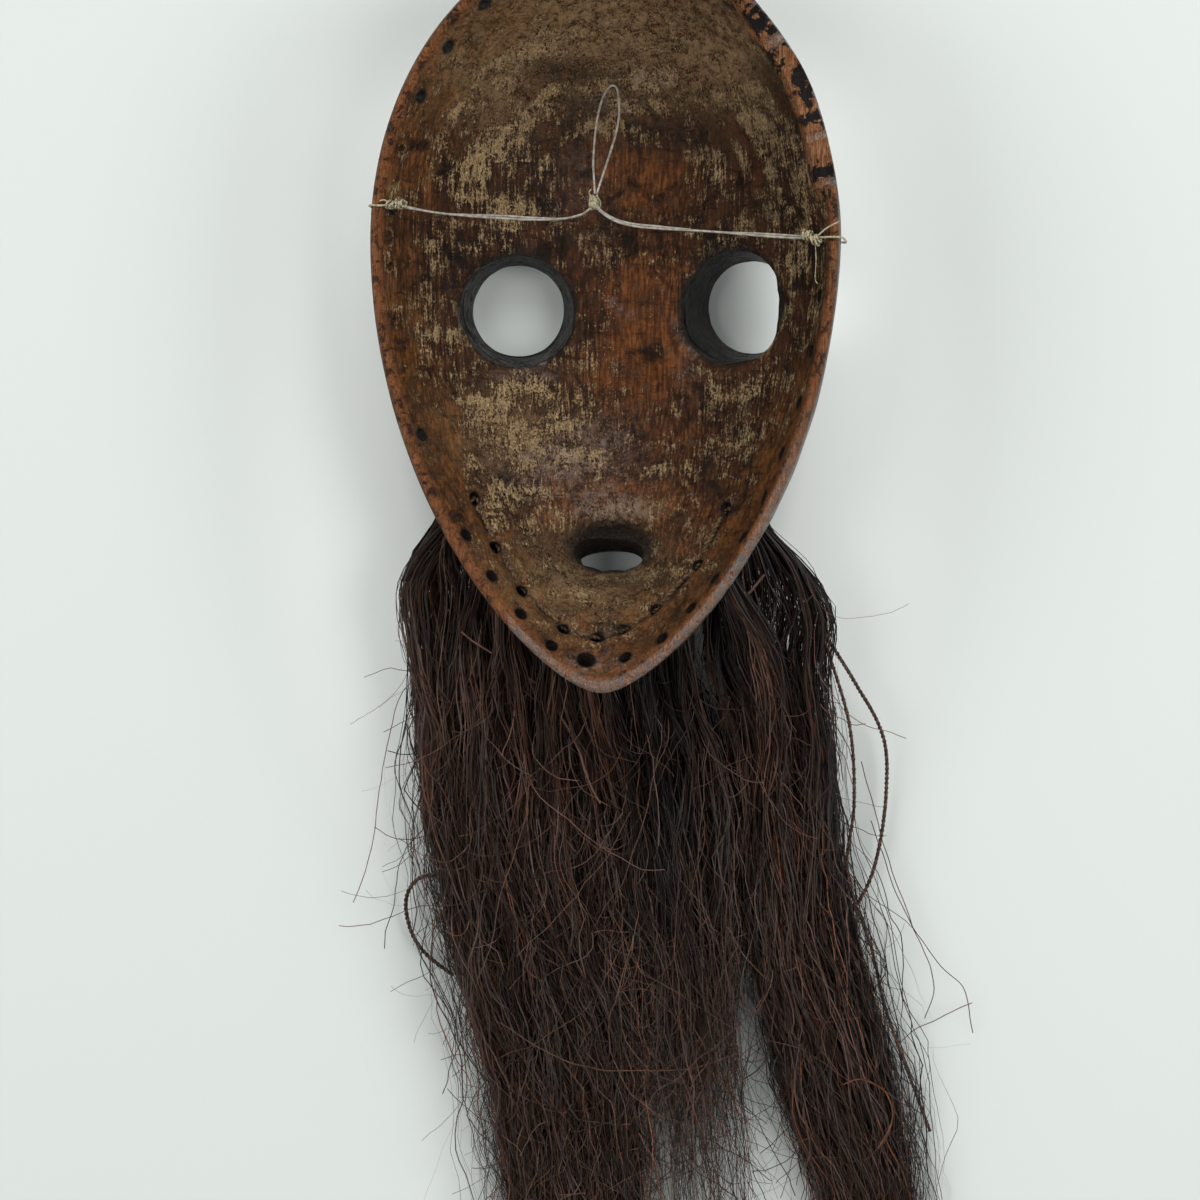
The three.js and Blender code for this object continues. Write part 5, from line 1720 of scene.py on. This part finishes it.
def make_tuft(number, lane, hole, material):
    rng = np.random.default_rng(SEED + number)
    strands, tints, heading = main_strands(number, lane, hole, rng)
    made = [(strands, tints), stray_fibres(lane, hole, rng), root_wrap(hole, heading)]
    made += twisted_strings(number) + single_strands(number)
    obj = mesh_object(f"beard_{number + 1}", *merged([part for part, _ in made]))
    add_attribute(obj, "tint", np.concatenate([tint for _, tint in made]))
    paint(obj, material)
    return piece(obj, "fibre", f"beard_tuft_{number + 1}")


# Floor and light.
def make_floor():
    half = TABLE_HALF * MM
    corners = [(-half, -half, 0), (half, -half, 0), (half, half, 0), (-half, half, 0)]
    mesh = bpy.data.meshes.new("table_top")
    mesh.from_pydata(corners, [], [(0, 1, 2, 3)])
    floor = add_object("table_top", mesh)
    floor.location.z = -TABLE_GAP * MM
    paint(floor, floor_material())


def area_light(name, location, size, power):
    data = bpy.data.lights.new(name, "AREA")
    data.shape = "RECTANGLE"
    data.size, data.size_y = size
    data.energy = power
    light = add_object(name, data)
    light.location = location
    light.rotation_euler = (Vector(LIGHT_TARGET) - Vector(location)).to_track_quat("-Z", "Y").to_euler()


def make_light():
    world = bpy.data.worlds.new("studio")
    world.use_nodes = True
    nodes, links = world.node_tree.nodes, world.node_tree.links
    place = nodes.new("ShaderNodeTexCoord")
    height = nodes.new("ShaderNodeSeparateXYZ")
    strength = nodes.new("ShaderNodeMapRange")
    ranges = {"From Min": 0.25, "From Max": 0.95, "To Min": ROOM_LIGHT, "To Max": OVERHEAD_LIGHT}
    for name, value in ranges.items():
        strength.inputs[name].default_value = value
    links.new(place.outputs["Generated"], height.inputs[0])
    links.new(height.outputs["Z"], strength.inputs["Value"])
    links.new(strength.outputs["Result"], nodes["Background"].inputs["Strength"])
    nodes["Background"].inputs["Color"].default_value = (0.96, 0.99, 1.0, 1)
    bpy.context.scene.world = world
    bpy.context.scene.view_settings.view_transform = "Standard"
    for side, power in ((-1, LEFT_LIGHT), (1, RIGHT_LIGHT)):
        area_light(f"softbox_{side}", (side * 1.3, 0.1, 1.5), (1.0, 1.6), power)
    area_light("softbox_top", (0, 1.5, 1.3), (1.6, 0.8), TOP_LIGHT)


make_camera()
make_line(nylon_material(), knot_material())
make_mask(wood_material())
make_beard_cord(dirty_cord_material())
FIBRE = fibre_material()
for number, (lane, hole) in enumerate(zip(tuft_lanes(), JAW_HOLES)):
    make_tuft(number, lane, hole, FIBRE)
make_floor()
make_light()
